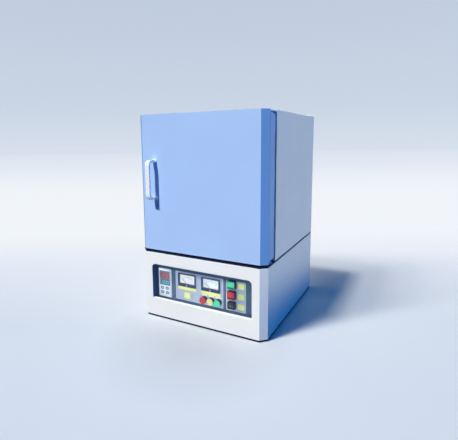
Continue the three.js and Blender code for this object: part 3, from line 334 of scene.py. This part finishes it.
# Looks of single nodes; the deck plate's dark colour is painted shade under the door
node_looks = {
    "door_pan": pan_blue, "hinge_arm": pan_blue, "hinge_pin": pan_blue, "door_handle": handle_painted_reflection,
    "ammeter_case": meter_navy, "voltmeter_case": meter_navy, "ammeter_needle": needle_grey,
    "voltmeter_needle": needle_grey, "key_barrel": barrel_dark, "deck_plate": seam_dark_and_shade,
    "seam_strip": seam_dark_and_shade, "plinth": seam_dark_and_shade, "mouth_frame": frame_paint,
}
for name, obj in nodes.items():
    obj.data.materials.clear()
    obj.data.materials.append(node_looks.get(name, slot_looks[slot_of[name]]))
    weld = obj.modifiers.new("weld", "NODES")
    weld.node_group = welding
    round_edges(obj, edge_widths.get(name, usual_edge) * MM)


# Outlines in the panel's plane, as (x, z) points
def rounded(x0, x1, z0, z1, corner, steps=4):
    points = []
    for cx, cz, start in ((x1 - corner, z1 - corner, 0), (x0 + corner, z1 - corner, 90),
                          (x0 + corner, z0 + corner, 180), (x1 - corner, z0 + corner, 270)):
        for step in range(steps + 1):
            angle = math.radians(start + 90 * step / steps)
            points.append((cx + corner * math.cos(angle), cz + corner * math.sin(angle)))
    return points


def oval(x, z, rx, rz, steps=28):
    turns = [2 * math.pi * step / steps for step in range(steps)]
    return [(x + rx * math.cos(a), z + rz * math.sin(a)) for a in turns]


def loop_of(made, outline, y):
    return [made.verts.new((x, y, z)) for x, z in outline]


def band(made, first, second):
    count = len(first)
    for i in range(count):
        j = (i + 1) % count
        made.faces.new((first[i], first[j], second[j], second[i]))


# A plate with this outline between two depths, and a frame between two such outlines
def slab(made, outline, front, back):
    near, rear = loop_of(made, outline, front), loop_of(made, outline, back)
    band(made, near, rear)
    made.faces.new(near)
    made.faces.new(list(reversed(rear)))


def rim(made, outer, inner, front, back):
    loops = [loop_of(made, outline, y) for outline, y in
             ((outer, front), (outer, back), (inner, back), (inner, front))]
    for first, second in zip(loops, loops[1:] + loops[:1]):
        band(made, first, second)


# Rings of a radius, or of a radius that depends on the angle, at offsets along an axis
def turned(made, rings, centre, axis, steps=24, hollow=False):
    turn = Vector(axis).to_track_quat("Z", "Y").to_matrix()
    loops = []
    for radius, offset in rings:
        loop = []
        for step in range(steps):
            angle = 2 * math.pi * step / steps
            r = radius(angle) if callable(radius) else radius
            point = Vector((r * math.cos(angle), r * math.sin(angle), offset))
            loop.append(made.verts.new(Vector(centre) + turn @ point))
        loops.append(loop)
    pairs = list(zip(loops, loops[1:]))
    if hollow:
        pairs.append((loops[-1], loops[0]))
    for first, second in pairs:
        band(made, first, second)
    if not hollow:
        made.faces.new(list(reversed(loops[0])))
        made.faces.new(loops[-1])


def hexagon(flat):
    return lambda angle: flat / math.cos((angle % (math.pi / 3)) - math.pi / 6)


# The cosine and sine of an angle, never zero
def shares_of(angle):
    least = 1e-6
    return max(abs(math.cos(angle)), least), max(abs(math.sin(angle)), least)


def groove(half_width, reach):
    def radius(angle):
        c, s = shares_of(angle)
        return min(half_width / c, reach / s)
    return radius


def cross(half_width, reach):
    level, upright = groove(half_width, reach), groove(reach, half_width)
    return lambda angle: max(level(angle), upright(angle))


# A screw's domed head with a cross recess, as shares of its radius
def screw(made, centre, axis, radius):
    hole = cross(radius * 0.15, radius * 0.58)
    top = radius * 0.62
    rings = [(radius, 0), (radius, radius * 0.3), (radius * 0.88, radius * 0.52), (radius * 0.7, top),
             (hole, top), (hole, radius * 0.15)]
    turned(made, rings, centre, axis, 48)


def piece(name, made, body, slot, look=None, edge=0.05):
    bmesh.ops.recalc_face_normals(made, faces=made.faces)
    for face in made.faces:
        face.smooth = True
    mesh = bpy.data.meshes.new(name)
    made.to_mesh(mesh)
    made.free()
    obj = bpy.data.objects.new(name, mesh)
    scene.collection.objects.link(obj)
    mesh.materials.append(look or slot_looks[slot])
    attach(obj, body)
    round_edges(obj, edge * MM)


def numbers(made, entries, size, front, back):
    for text, x, z in entries:
        curve = bpy.data.curves.new("number", "FONT")
        curve.body = text
        curve.size = size
        curve.align_x = "CENTER"
        curve.align_y = "CENTER"
        curve.resolution_u = 3
        curve.extrude = (back - front) / 2
        written = bpy.data.objects.new("number", curve)
        scene.collection.objects.link(written)
        graph = bpy.context.evaluated_depsgraph_get()
        mesh = bpy.data.meshes.new_from_object(written.evaluated_get(graph))
        mesh.transform(Matrix.Translation((x, (front + back) / 2, z)) @ Matrix.Rotation(math.pi / 2, 4, "X"))
        made.from_mesh(mesh)
        bpy.data.objects.remove(written)
        bpy.data.curves.remove(curve)
        bpy.data.meshes.remove(mesh)
    bmesh.ops.remove_doubles(made, verts=made.verts, dist=0.000001)


# A box's rounded outline, grown by some millimetres, or shrunk by them when they are below zero
def grown(box, by, corner):
    x0, x1, z0, z1 = box
    return rounded(x0 - by * MM, x1 + by * MM, z0 - by * MM, z1 + by * MM, corner * MM)


# A box's left, right, foot and top
def sides(low, high):
    return low.x, high.x, low.z, high.z


# A point at an angle and a radius, in degrees and millimetres, on a meter's dial
def on_dial(hub, angle, radius):
    x, z = hub
    return x + math.sin(math.radians(angle)) * radius * MM, z + math.cos(math.radians(angle)) * radius * MM


# The printed scale: an arc, its ticks and its numbers
def scale(made, hub, texts, ink, paper):
    first, last, steps = -45, 45, 30
    arc_inner, arc_outer, tick_foot, numbers_at = 24.8, 25.2, 25.6, 31
    angles = [first + (last - first) * step / steps for step in range(steps + 1)]
    arc = [on_dial(hub, angle, arc_outer) for angle in angles]
    arc += [on_dial(hub, angle, arc_inner) for angle in reversed(angles)]
    slab(made, arc, ink, paper)
    for step, angle in enumerate(angles):
        tick_top, half = (28.6, 0.5) if step % 3 == 0 else (27.2, 0.3)
        half_top = half * tick_foot / tick_top
        slab(made, [on_dial(hub, angle - half, tick_foot), on_dial(hub, angle + half, tick_foot),
                    on_dial(hub, angle + half_top, tick_top), on_dial(hub, angle - half_top, tick_top)],
             ink, paper)
    pitch = (last - first) / (len(texts) - 1)
    marks = [(text, *on_dial(hub, first + pitch * place, numbers_at)) for place, text in enumerate(texts)]
    numbers(made, marks, 2.8 * MM, ink, paper)


# Panel meters: dial, printed scale, window, lower cover and zero screw
dial_numbers = {
    "ammeter": ("0", "10", "20", "30", "40", "50"),
    "voltmeter": ("0", "50", "100", "150", "200", "250"),
}
for kind, texts in dial_numbers.items():
    low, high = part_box(kind + "_case")
    middle, front = (low.x + high.x) / 2, low.y
    opening = (low.x + 5 * MM, high.x - 5 * MM, low.z + 10 * MM, high.z - 4 * MM)
    dial = front + 5.2 * MM
    paper, ink = dial - 0.25 * MM, dial - 0.29 * MM
    made = bmesh.new()
    slab(made, grown(opening, -0.3, 0.8), paper, dial)
    piece(kind + "_dial", made, "furnace_body", "white_plastic", dial_white_glow)

    made = bmesh.new()
    scale(made, (middle, low.z + 6 * MM), texts, ink, paper)
    piece(kind + "_scale", made, "furnace_body", "black_plastic", print_dark)

    made = bmesh.new()
    slab(made, grown(opening, -0.2, 0.8), front + 0.3 * MM, front + 1.1 * MM)
    piece(kind + "_window", made, "furnace_body", "white_plastic", window_glass, 0.15)

    made = bmesh.new()
    cover_front = front - 1.0 * MM
    cover = rounded(low.x + 1.6 * MM, high.x - 1.6 * MM, low.z + 1.4 * MM, opening[2] - 1.2 * MM, 1.4 * MM)
    slab(made, cover, cover_front, front)
    piece(kind + "_cover", made, "furnace_body", "black_plastic", meter_navy, 0.5)

    made = bmesh.new()
    zero, top = groove(0.3 * MM, 1.7 * MM), 0.8 * MM
    rings = [(2.3 * MM, 0), (2.3 * MM, 0.6 * MM), (2.0 * MM, top), (zero, top), (zero, 0.35 * MM)]
    turned(made, rings, (middle, cover_front, low.z + 5 * MM), (0, -1, 0), 32)
    piece(kind + "_zero_screw", made, "furnace_body", "steel")

# Plates: raised border lines in a pale colour, a painted highlight along their edges, and bare labels
for name in ("meter_plate", "button_plate"):
    low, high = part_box(name)
    made = bmesh.new()
    rim(made, grown(sides(low, high), -0.6, 3.4), grown(sides(low, high), -2.0, 2.0), low.y - 0.4 * MM, low.y)
    piece(name + "_border", made, "furnace_body", "plate_paint", painted_highlight, 0.15)


def labels(name, boxes, front, look, corner=0.8):
    made = bmesh.new()
    for box in boxes:
        slab(made, grown(box, 0, corner), front - 0.6 * MM, front)
    piece(name, made, "furnace_body", "amber_plastic", look, 0.12)


plate_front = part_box("meter_plate")[0].y
under_meters = []
for kind in dial_numbers:
    low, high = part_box(kind + "_case")
    under_meters.append((low.x - 2.2 * MM, high.x - 0.2 * MM, low.z - 11.4 * MM, low.z - 1.2 * MM))
labels("meter_labels", under_meters, plate_front, label_yellow)
lamp_names = ("lamp_red", "lamp_amber", "lamp_green")
over_lamps = []
for name in lamp_names:
    low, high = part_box(name)
    over_lamps.append((low.x - 1.0 * MM, high.x + 1.0 * MM, high.z + 1.6 * MM, high.z + 7.0 * MM))
labels("lamp_labels", over_lamps, plate_front, label_cream)
labels("blank_plate", [(-67.5 * MM, -45.5 * MM, 75.0 * MM, 95.5 * MM)], plate_front, label_yellow, 3.0)
low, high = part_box("button_plate")
beside_switches = []
for name in ("start_bezel", "stop_bezel", "key_switch"):
    foot, top = [corner.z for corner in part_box(name)]
    level, half_height = (foot + top) / 2 - 3 * MM, 9.2 * MM
    beside_switches.append((high.x - 26 * MM, high.x - 4.6 * MM, level - half_height, level + half_height))
labels("switch_labels", beside_switches, low.y, label_yellow)

# Pilot lamps: a coloured head over each lens and a black sleeve behind it, with a flange on the plate
for name in lamp_names:
    low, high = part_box(name)
    x, z, radius = (low.x + high.x) / 2, (low.z + high.z) / 2, (high.x - low.x) / 2
    made = bmesh.new()
    head = radius + 0.9 * MM
    dome = [(head, 0), (head, 2.6 * MM), (head - 0.5 * MM, 3.5 * MM), (head * 0.84, 4.2 * MM),
            (head * 0.6, 4.7 * MM), (head * 0.3, 4.95 * MM)]
    turned(made, dome, (x, low.y + 5.0 * MM, z), (0, -1, 0), 40)
    piece(name + "_head", made, "furnace_body", slot_of[name], None, 0.2)
    made = bmesh.new()
    inner, outer, flange = [radius + size * MM for size in (0.05, 0.6, 1.1)]
    tall, foot = plate_front - low.y - 5.2 * MM, 1.2 * MM
    sleeve = [(inner, 0), (inner, tall), (outer - 0.3 * MM, tall), (outer, tall - 0.4 * MM), (outer, foot),
              (flange, foot), (flange, 0)]
    turned(made, sleeve, (x, plate_front, z), (0, -1, 0), 40, hollow=True)
    piece(name + "_sleeve", made, "furnace_body", "black_plastic", None, 0.1)

# Push buttons: a black collar on the bezel and a darker lip along the foot of the cap, painted shade
for name, lip_shade_look in (("start", shade_green), ("stop", shade_red)):
    low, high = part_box(name + "_button")
    bezel_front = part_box(name + "_bezel")[0].y
    made = bmesh.new()
    rim(made, grown(sides(low, high), 2.0, 2.6), grown(sides(low, high), 0.3, 1.6), low.y + 1.6 * MM,
        bezel_front)
    piece(name + "_collar", made, "furnace_body", "black_plastic", None, 0.4)
    made = bmesh.new()
    slab(made, rounded(low.x + 0.8 * MM, high.x - 0.8 * MM, low.z + 0.8 * MM, low.z + 5.2 * MM, 1.2 * MM),
         low.y - 0.3 * MM, low.y + 0.4 * MM)
    piece(name + "_button_shade_lip", made, name + "_button", slot_of[name + "_button"], lip_shade_look, 0.25)

# Key switch: a dark ring, and a pale dot on the barrel, a painted glint
low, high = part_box("key_switch")
barrel_low, barrel_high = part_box("key_barrel")
middle, level = (barrel_low.x + barrel_high.x) / 2, (barrel_low.z + barrel_high.z) / 2
reach = (barrel_high.x - barrel_low.x) / 2
inner, shoulder, outer = [reach + size * MM for size in (0.35, 1.4, 2.1)]
made = bmesh.new()
turned(made, [(inner, 0), (inner, 1.5 * MM), (shoulder, 1.5 * MM), (outer, 0.9 * MM), (outer, 0)],
       (middle, low.y, level), (0, -1, 0), 40, hollow=True)
piece("key_switch_ring", made, "furnace_body", "steel", barrel_dark, 0.15)
made = bmesh.new()
dot = 1.3 * MM
slab(made, oval(middle - 1.2 * MM, level, dot, dot, 20), barrel_low.y - 0.25 * MM, barrel_low.y)
piece("key_mark", made, "key_barrel", "steel", painted_highlight, 0.1)

# Temperature controller: glass, digits and ringed keys
low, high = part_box("controller_case")
middle, front = (low.x + high.x) / 2, low.y
made = bmesh.new()
rim(made, grown(sides(low, high), -0.4, 2.2), grown(sides(low, high), -2.6, 1.2), front - 0.7 * MM, front)
piece("controller_frame", made, "furnace_body", "white_plastic", None, 0.3)
glass_half, glass_front, glass_back = 19.6 * MM, front + 0.2 * MM, front + 1.0 * MM
for name, z0, z1, look in (("controller_strip", 150.6, 155.7, glass_slate),
                           ("controller_upper_glass", 128.0, 150.2, glass_red),
                           ("controller_lower_glass", 107.3, 127.6, glass_teal)):
    made = bmesh.new()
    slab(made, rounded(middle - glass_half, middle + glass_half, z0 * MM, z1 * MM, 0.8 * MM), glass_front,
         glass_back)
    piece(name, made, "furnace_body", "black_plastic", look, 0.15)

# The bars of a digit by their ends, across from 0 to 1 and up from -1 to 1
segment_bars = {
    "a": (0, 1, 1, 1), "b": (1, 1, 1, 0), "c": (1, 0, 1, -1), "d": (0, -1, 1, -1), "e": (0, 0, 0, -1),
    "f": (0, 1, 0, 0), "g": (0, 0, 1, 0),
}
lit_bars = {"0": "abcdef", "1": "bc", "2": "abged"}
digit_front = front + 0.08 * MM


def digits(name, text, level, height, width, pitch, stroke, slot, look):
    made = bmesh.new()
    left = middle - pitch * (len(text) - 1) / 2 - width / 2
    for place, digit in enumerate(text):
        x = left + pitch * place
        for bar in lit_bars[digit]:
            ax, az, bx, bz = segment_bars[bar]
            start = Vector((x + ax * width, level + az * height / 2))
            end = Vector((x + bx * width, level + bz * height / 2))
            way = (end - start).normalized()
            side = Vector((-way.y, way.x)) * stroke / 2
            start, end = start + way * stroke * 0.1, end - way * stroke * 0.1
            tip = way * stroke / 2
            corners = (start, start + tip + side, end - tip + side, end, end - tip - side, start + tip - side)
            slab(made, [tuple(corner) for corner in corners], digit_front, glass_front)
    piece(name, made, "furnace_body", slot, look)


digits("controller_value", "1200", 139 * MM, 14.5 * MM, 6.4 * MM, 9.4 * MM, 1.7 * MM, "red_plastic",
       digit_red)
digits("controller_setting", "1200", 117 * MM, 10.5 * MM, 4.8 * MM, 7.6 * MM, 1.3 * MM, "green_plastic",
       digit_teal)
made = bmesh.new()
signal, signal_pitch, signal_level = 0.9 * MM, 9 * MM, 153.2 * MM
for place in range(4):
    across = middle + (place - 1.5) * signal_pitch
    slab(made, oval(across, signal_level, signal, signal, 14), digit_front, glass_front)
piece("controller_signals", made, "furnace_body", "red_plastic", digit_red)
key_marks = {
    "controller_key_1": [(-1.6, 0.0), (1.2, 1.6), (1.2, -1.6)],
    "controller_key_2": [(0.0, 1.6), (-1.8, -1.2), (1.8, -1.2)],
    "controller_key_3": [(0.0, -1.6), (1.8, 1.2), (-1.8, 1.2)],
    "controller_key_4": [(-1.5, 1.1), (1.5, 1.1), (1.5, -1.1), (-1.5, -1.1)],
}
for name, mark in key_marks.items():
    low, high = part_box(name)
    x, z = (low.x + high.x) / 2, (low.z + high.z) / 2
    made = bmesh.new()
    rim(made, oval(x, z, 6.4 * MM, 4.9 * MM), oval(x, z, 4.0 * MM, 2.6 * MM), low.y - 0.2 * MM, low.y)
    slab(made, [(x + a * MM, z + b * MM) for a, b in mark], low.y - 0.15 * MM, low.y)
    piece(name + "_mark", made, name, "black_plastic", ring_navy, 0.06)

# White lip along the foot of the recess
panel_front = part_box("control_panel")[0].y
lip_half, lip_foot, lip_top = 176.6 * MM, 64.7 * MM, 65.3 * MM
made = bmesh.new()
slab(made, [(-lip_half, lip_foot), (lip_half, lip_foot), (lip_half, lip_top), (-lip_half, lip_top)],
     panel_front - 0.9 * MM, panel_front + 7 * MM)
piece("recess_lip", made, "furnace_body", "front_paint", lip_white, 0.1)

# Door handle's feet
low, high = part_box("door_handle")
door_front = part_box("door_skin")[0].y
middle, from_end = (low.x + high.x) / 2, 3.5 * MM
made = bmesh.new()
for level in (low.z + from_end, high.z - from_end):
    rim(made, oval(middle, level, 9.6 * MM, 6.0 * MM), oval(middle, level, 7.2 * MM, 3.6 * MM),
        door_front - 1.3 * MM, door_front)
piece("handle_feet", made, "door", "chrome", handle_painted_reflection, 0.4)

# Navy bead along each side of the door, between its skin and its pan, painted shade for the gap there, and a
# dark skirt round the foot of the base
low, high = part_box("door_pan")
made = bmesh.new()
for side in (-1, 1):
    x0, x1 = sorted((side * (high.x - 0.3 * MM), side * (high.x + 0.8 * MM)))
    slab(made, rounded(x0, x1, low.z + 2 * MM, high.z - 1 * MM, 0.4 * MM), low.y - 0.4 * MM, low.y + 2.2 * MM)
piece("door_gap_shade", made, "door", "door_paint", gap_shade_blue, 0.2)
low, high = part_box("base_front")
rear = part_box("base_rear")[1].y


def skirt_loop(inset, z):
    half, chamfer, back, front = high.x - inset, 0.0195, rear - inset, low.y + inset
    outline = [(-half, back), (-half, front + chamfer), (-half + chamfer, front), (half - chamfer, front),
               (half, front + chamfer), (half, back)]
    return [made.verts.new((x, y, z)) for x, y in outline]


made = bmesh.new()
outside, inside, foot, top = 1.0 * MM, 4.5 * MM, 0.3 * MM, 5.7 * MM
loops = [skirt_loop(inset, z) for inset, z in
         ((outside, top), (outside, foot), (inside, foot), (inside, top))]
for first, second in zip(loops, loops[1:] + loops[:1]):
    band(made, first, second)
piece("plinth_skirt", made, "furnace_body", slot_of["plinth"], seam_dark_and_shade, 0.3)

# The radius of the heads that hold sheets
sheet_screw = 3.2 * MM

# Door's inner side: a clamping frame round the plug, held by screws, and screws along the pan's rim
low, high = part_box("door_plug")
pan_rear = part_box("door_pan")[1].y
clamp_rear = pan_rear + 1.0 * MM
made = bmesh.new()
rim(made, grown(sides(low, high), 15, 6), grown(sides(low, high), 0.4, 1), clamp_rear, pan_rear)
piece("plug_clamp", made, "door", "steel", None, 0.3)
made = bmesh.new()
beside = 8 * MM
for share in (0.03, 0.5, 0.97):
    across, up = low.x + (high.x - low.x) * share, low.z + (high.z - low.z) * share
    for x, z in ((across, low.z - beside), (across, high.z + beside), (low.x - beside, up),
                 (high.x + beside, up)):
        screw(made, (x, clamp_rear, z), (0, 1, 0), 2.6 * MM)
for x in (-0.16, -0.05, 0.06):
    for z in (0.25, 0.644):
        screw(made, (x, pan_rear, z), (0, 1, 0), sheet_screw)
piece("door_screws", made, "door", "steel")

# Front frame round the mouth: screws, and a thin steel strip that holds the rope
low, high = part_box("mouth_seal")
frame_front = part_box("mouth_frame")[0].y
made = bmesh.new()
rim(made, grown(sides(low, high), 9, 7), grown(sides(low, high), 0.5, 3), frame_front - 0.8 * MM,
    frame_front)
piece("rope_strip", made, "furnace_body", "steel", None, 0.3)
made = bmesh.new()
for x in (-0.175, -0.06, 0.06, 0.175):
    for z in (0.243, 0.647):
        screw(made, (x, frame_front, z), (0, -1, 0), sheet_screw)
for z in (0.33, 0.55):
    for x in (-0.205, 0.205):
        screw(made, (x, frame_front, z), (0, -1, 0), sheet_screw)
piece("frame_screws", made, "furnace_body", "steel")

# Rear: sheet screws, fan screws, a blank plate on rivets, an earth stud and the gland's washer
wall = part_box("case_rear")[1].y
low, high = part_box("fan_frame")
fan_x, fan_z = (low.x + high.x) / 2, (low.z + high.z) / 2
made = bmesh.new()
for x in (-0.208, 0.208):
    for z in (0.02, 0.1135, 0.208, 0.241, 0.445, 0.65):
        screw(made, (x, wall, z), (0, 1, 0), sheet_screw)
for x in (-0.07, 0.07):
    for z in (0.02, 0.241):
        screw(made, (x, wall, z), (0, 1, 0), sheet_screw)
fan_screw_at = 41 * MM
for side in (-1, 1):
    for up in (-1, 1):
        screw(made, (fan_x + side * fan_screw_at, wall, fan_z + up * fan_screw_at), (0, 1, 0), 2.8 * MM)
piece("rear_screws", made, "furnace_body", "steel")
plate_x, plate_z, plate_rear = (-0.165, -0.085), (0.32, 0.375), wall + 0.8 * MM
plate_centre = Vector((sum(plate_x) / 2, plate_rear, sum(plate_z) / 2))
made = bmesh.new()
slab(made, rounded(*plate_x, *plate_z, 2 * MM), wall, plate_rear)
piece("rear_plate", made, "furnace_body", "aluminium", None, 0.2)
made = bmesh.new()
rivet = [(1.6 * MM, 0), (1.5 * MM, 0.4 * MM), (1.0 * MM, 0.8 * MM), (0.4 * MM, 0.95 * MM)]
for x in plate_x:
    for z in plate_z:
        turned(made, rivet, Vector((x, plate_rear, z)).lerp(plate_centre, 0.1), (0, 1, 0), 20)
piece("rear_plate_rivets", made, "furnace_body", "steel", None, 0.05)
made = bmesh.new()
stud_place, nut = (-0.185, wall, 0.04), hexagon(4.5 * MM)
for rings, steps in (([(7 * MM, 0), (7 * MM, 1 * MM)], 32),
                     ([(nut, 1 * MM), (nut, 5 * MM), (3.8 * MM, 5.6 * MM)], 48),
                     ([(2.5 * MM, 5 * MM), (2.5 * MM, 12 * MM), (2.0 * MM, 12.6 * MM)], 24)):
    turned(made, rings, stud_place, (0, 1, 0), steps)
piece("earth_stud", made, "furnace_body", "brass", None, 0.2)
low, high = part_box("power_inlet")
x, z, reach = (low.x + high.x) / 2, (low.z + high.z) / 2, (high.x - low.x) / 2
outer, inner, thick = reach + 2 * MM, reach * 0.8, 1.4 * MM
made = bmesh.new()
turned(made, [(outer, 0), (outer, thick), (inner, thick), (inner, 0)], (x, wall, z), (0, 1, 0), 40,
       hollow=True)
piece("gland_washer", made, "furnace_body", "black_rubber", None, 0.3)
low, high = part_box("thermocouple")
x, z, screw_at = (low.x + high.x) / 2, (low.z + high.z) / 2, 9.5 * MM
made = bmesh.new()
for third in range(3):
    angle = math.radians(90 + 120 * third)
    centre = (x + screw_at * math.cos(angle), high.y, z + screw_at * math.sin(angle))
    screw(made, centre, (0, 1, 0), 1.8 * MM)
piece("sensor_screws", made, "furnace_body", "steel")


# Lights
def sun(name, azimuth, elevation, energy, angle, colour):
    data = bpy.data.lights.new(name, "SUN")
    data.energy = energy
    data.angle = math.radians(angle)
    data.color = colour
    obj = bpy.data.objects.new(name, data)
    scene.collection.objects.link(obj)
    a, e = math.radians(azimuth), math.radians(elevation)
    away = Vector((math.sin(a) * math.cos(e), math.cos(a) * math.cos(e), -math.sin(e)))
    obj.rotation_euler = away.to_track_quat("-Z", "Y").to_euler()
    return obj


# Whether an object stands in the control panel's recess
def in_recess(obj):
    front, back, foot, top, half = -0.2465, -0.11, 0.05, 0.2, 0.2
    corners = [obj.matrix_world @ Vector(corner) for corner in obj.bound_box]
    return all(front < c.y < back and foot < c.z < top and abs(c.x) < half for c in corners)


# Lets a lamp light only these objects, or all but these
def shines_on(lamp, others, state):
    group = bpy.data.collections.new(lamp.name + "_on")
    for obj in others:
        group.objects.link(obj)
    lamp.light_linking.receiver_collection = group
    for entry in group.collection_objects:
        entry.light_linking.link_state = state


# A wide lamp with a grid: its light stays nearly parallel
def softbox(name, place, toward, size, energy, spread_angle, colour, roll):
    data = bpy.data.lights.new(name, "AREA")
    data.shape = "RECTANGLE"
    data.size, data.size_y = size
    data.energy = energy
    data.color = colour
    data.spread = math.radians(spread_angle)
    obj = bpy.data.objects.new(name, data)
    scene.collection.objects.link(obj)
    obj.location = place
    aimed = Vector(toward).to_track_quat("-Z", "Y").to_matrix()
    obj.rotation_euler = (aimed @ Matrix.Rotation(math.radians(roll), 3, "Z")).to_euler()
    return obj


# Whether the camera sees a surface, directly, in a mirror or through glass
def seen_by_camera(tree):
    rays = node(tree, "ShaderNodeLightPath").outputs
    in_gloss_or_glass = maths(tree, "MAXIMUM", rays["Is Glossy Ray"], rays["Is Transmission Ray"])
    return maths(tree, "MAXIMUM", rays["Is Camera Ray"], in_gloss_or_glass)


# World: a backdrop that pales towards the horizon, and a blue light from all round
world = bpy.data.worlds.new("world")
scene.world = world
world.use_nodes = True
sky = world.node_tree
sky.nodes.clear()
direction = node(sky, "ShaderNodeTexCoord").outputs["Generated"]
height = node(sky, "ShaderNodeSeparateXYZ", {0: direction}).outputs["Z"]
backdrop = ramp(sky, spread(sky, height, -0.05, 0.45, 0.0, 1.0), [
    (0.0, (214, 224, 236)), (0.1, (212, 222, 235)), (0.26, (202, 213, 229)), (0.65, (194, 206, 223)),
    (1.0, (190, 203, 220))])
shown = node(sky, "ShaderNodeBackground", {"Color": backdrop, "Strength": 1.0})
ambient = node(sky, "ShaderNodeBackground", {"Color": (0.006, 0.075, 0.234, 1), "Strength": 1.0})
both = node(sky, "ShaderNodeMixShader",
            {0: seen_by_camera(sky), 1: ambient.outputs[0], 2: shown.outputs[0]})
sky.links.new(both.outputs[0], node(sky, "ShaderNodeOutputWorld").inputs["Surface"])

# Floor: pale and lit near the furnace, so that it keeps the shadow, and as bright as the backdrop far off
mesh = bpy.data.meshes.new("floor")
made = bmesh.new()
bmesh.ops.create_grid(made, x_segments=8, y_segments=8, size=40)
made.to_mesh(mesh)
made.free()
floor = bpy.data.objects.new("floor", mesh)
scene.collection.objects.link(floor)
material = bpy.data.materials.new("floor")
material.use_nodes = True
tree = material.node_tree
place = node(tree, "ShaderNodeTexCoord").outputs["Object"]
away_from_camera = (-0.4895, 0.872, 0)
along = node(tree, "ShaderNodeVectorMath", {0: place, 1: away_from_camera}, operation="DOT_PRODUCT")
along = along.outputs["Value"]
near = ramp(tree, spread(tree, along, -0.6, 1.4, 0.0, 1.0), [
    (0.0, (236, 239, 243)), (0.2, (238, 241, 243)), (0.31, (245, 247, 247)), (0.45, (252, 252, 252)),
    (1.0, (255, 255, 255))])
front_foot = (0.03, -0.33, 0)
from_foot = node(tree, "ShaderNodeVectorMath", {0: place, 1: front_foot}, operation="DISTANCE")
foot_shade = spread(tree, from_foot.outputs["Value"], 0.06, 0.3, 0.81, 1.0)
near = node(tree, "ShaderNodeVectorMath", {0: near, "Scale": foot_shade}, operation="SCALE").outputs[0]
far = ramp(tree, spread(tree, along, 0.0, 20.0, 0.0, 1.0), [
    (0.0, (241, 245, 249)), (0.15, (240, 244, 249)), (0.36, (226, 233, 243)), (1.0, (214, 224, 236))])
matte = tree.nodes["Principled BSDF"]
bounced = maths(tree, "MULTIPLY", node(tree, "ShaderNodeLightPath").outputs["Is Diffuse Ray"], 0.95)
dimmed = mixed(tree, bounced, near, linear((10, 40, 90)))
tree.links.new(dimmed, matte.inputs["Base Color"])
matte.inputs["Roughness"].default_value = 0.85
matte.inputs["Specular IOR Level"].default_value = 0.0
glow = node(tree, "ShaderNodeEmission", {"Color": far})
far_off = node(tree, "ShaderNodeMapRange", {"Value": along, "From Min": 0.08, "From Max": 1.1},
               interpolation_type="SMOOTHSTEP")
share = maths(tree, "MULTIPLY", seen_by_camera(tree), far_off.outputs[0])
both = node(tree, "ShaderNodeMixShader", {0: share, 1: matte.outputs[0], 2: glow.outputs[0]})
tree.links.new(both.outputs[0], tree.nodes["Material Output"].inputs["Surface"])
mesh.materials.append(material)

# Suns: azimuth, elevation, energy, width, colour, and the pieces that each lights or leaves out
recessed = [obj for obj in scene.objects if obj.type == "MESH" and obj is not floor and in_recess(obj)]
leaf = [nodes["door_skin"], nodes["door_handle"], bpy.data.objects["handle_feet"]]
gently_lit = recessed + [nodes["case_cover"]]
warm, nearly_white = (1.0, 0.96, 0.83), (1.0, 0.995, 0.94)
suns = {
    "key": (24, 46, 4.45, 6, warm, [floor] + gently_lit + leaf, "EXCLUDE"),
    "door_key": (10, 48, 4.29, 4, warm, leaf, "INCLUDE"),
    # The furnace's shadow on the floor: a dark core and a longer, paler tail
    "floor_key_66": (29, 66, 1.38, 7, nearly_white, [floor], "INCLUDE"),
    "floor_key_54": (33, 54, 0.6, 7, nearly_white, [floor], "INCLUDE"),
    "floor_key_46": (37, 46, 0.5, 7, nearly_white, [floor], "INCLUDE"),
    "floor_key_38": (40, 38, 0.31, 7, nearly_white, [floor], "INCLUDE"),
    "gentle_key": (24, 43, 3.4, 6, (1.0, 0.97, 0.85), gently_lit, "INCLUDE"),
    "recess_fill": (12, 9, 0.76, 16, (1.0, 0.96, 0.8), recessed, "INCLUDE"),
    "recess_side_fill": (-46, 9, 0.52, 16, (1.0, 0.96, 0.86), recessed, "INCLUDE"),
    "rear_fill": (171, 10, 2.0, 10, (1.0, 0.96, 0.88), [floor], "EXCLUDE"),
    "side_glow": (-80, 8, 1.1, 60, (0.0, 0.3, 1.0), [floor], "EXCLUDE"),
}
for name, (azimuth, elevation, energy, width, colour, others, state) in suns.items():
    shines_on(sun(name, azimuth, elevation, energy, width, colour), others, state)
side_fill = softbox("side_fill", (1.6, 0.75, 0.535), (-1.38, -0.75, 0), (1.6, 0.86), 1.53, 8,
                    (1.0, 0.97, 0.68), -9)
shines_on(side_fill, [floor], "EXCLUDE")
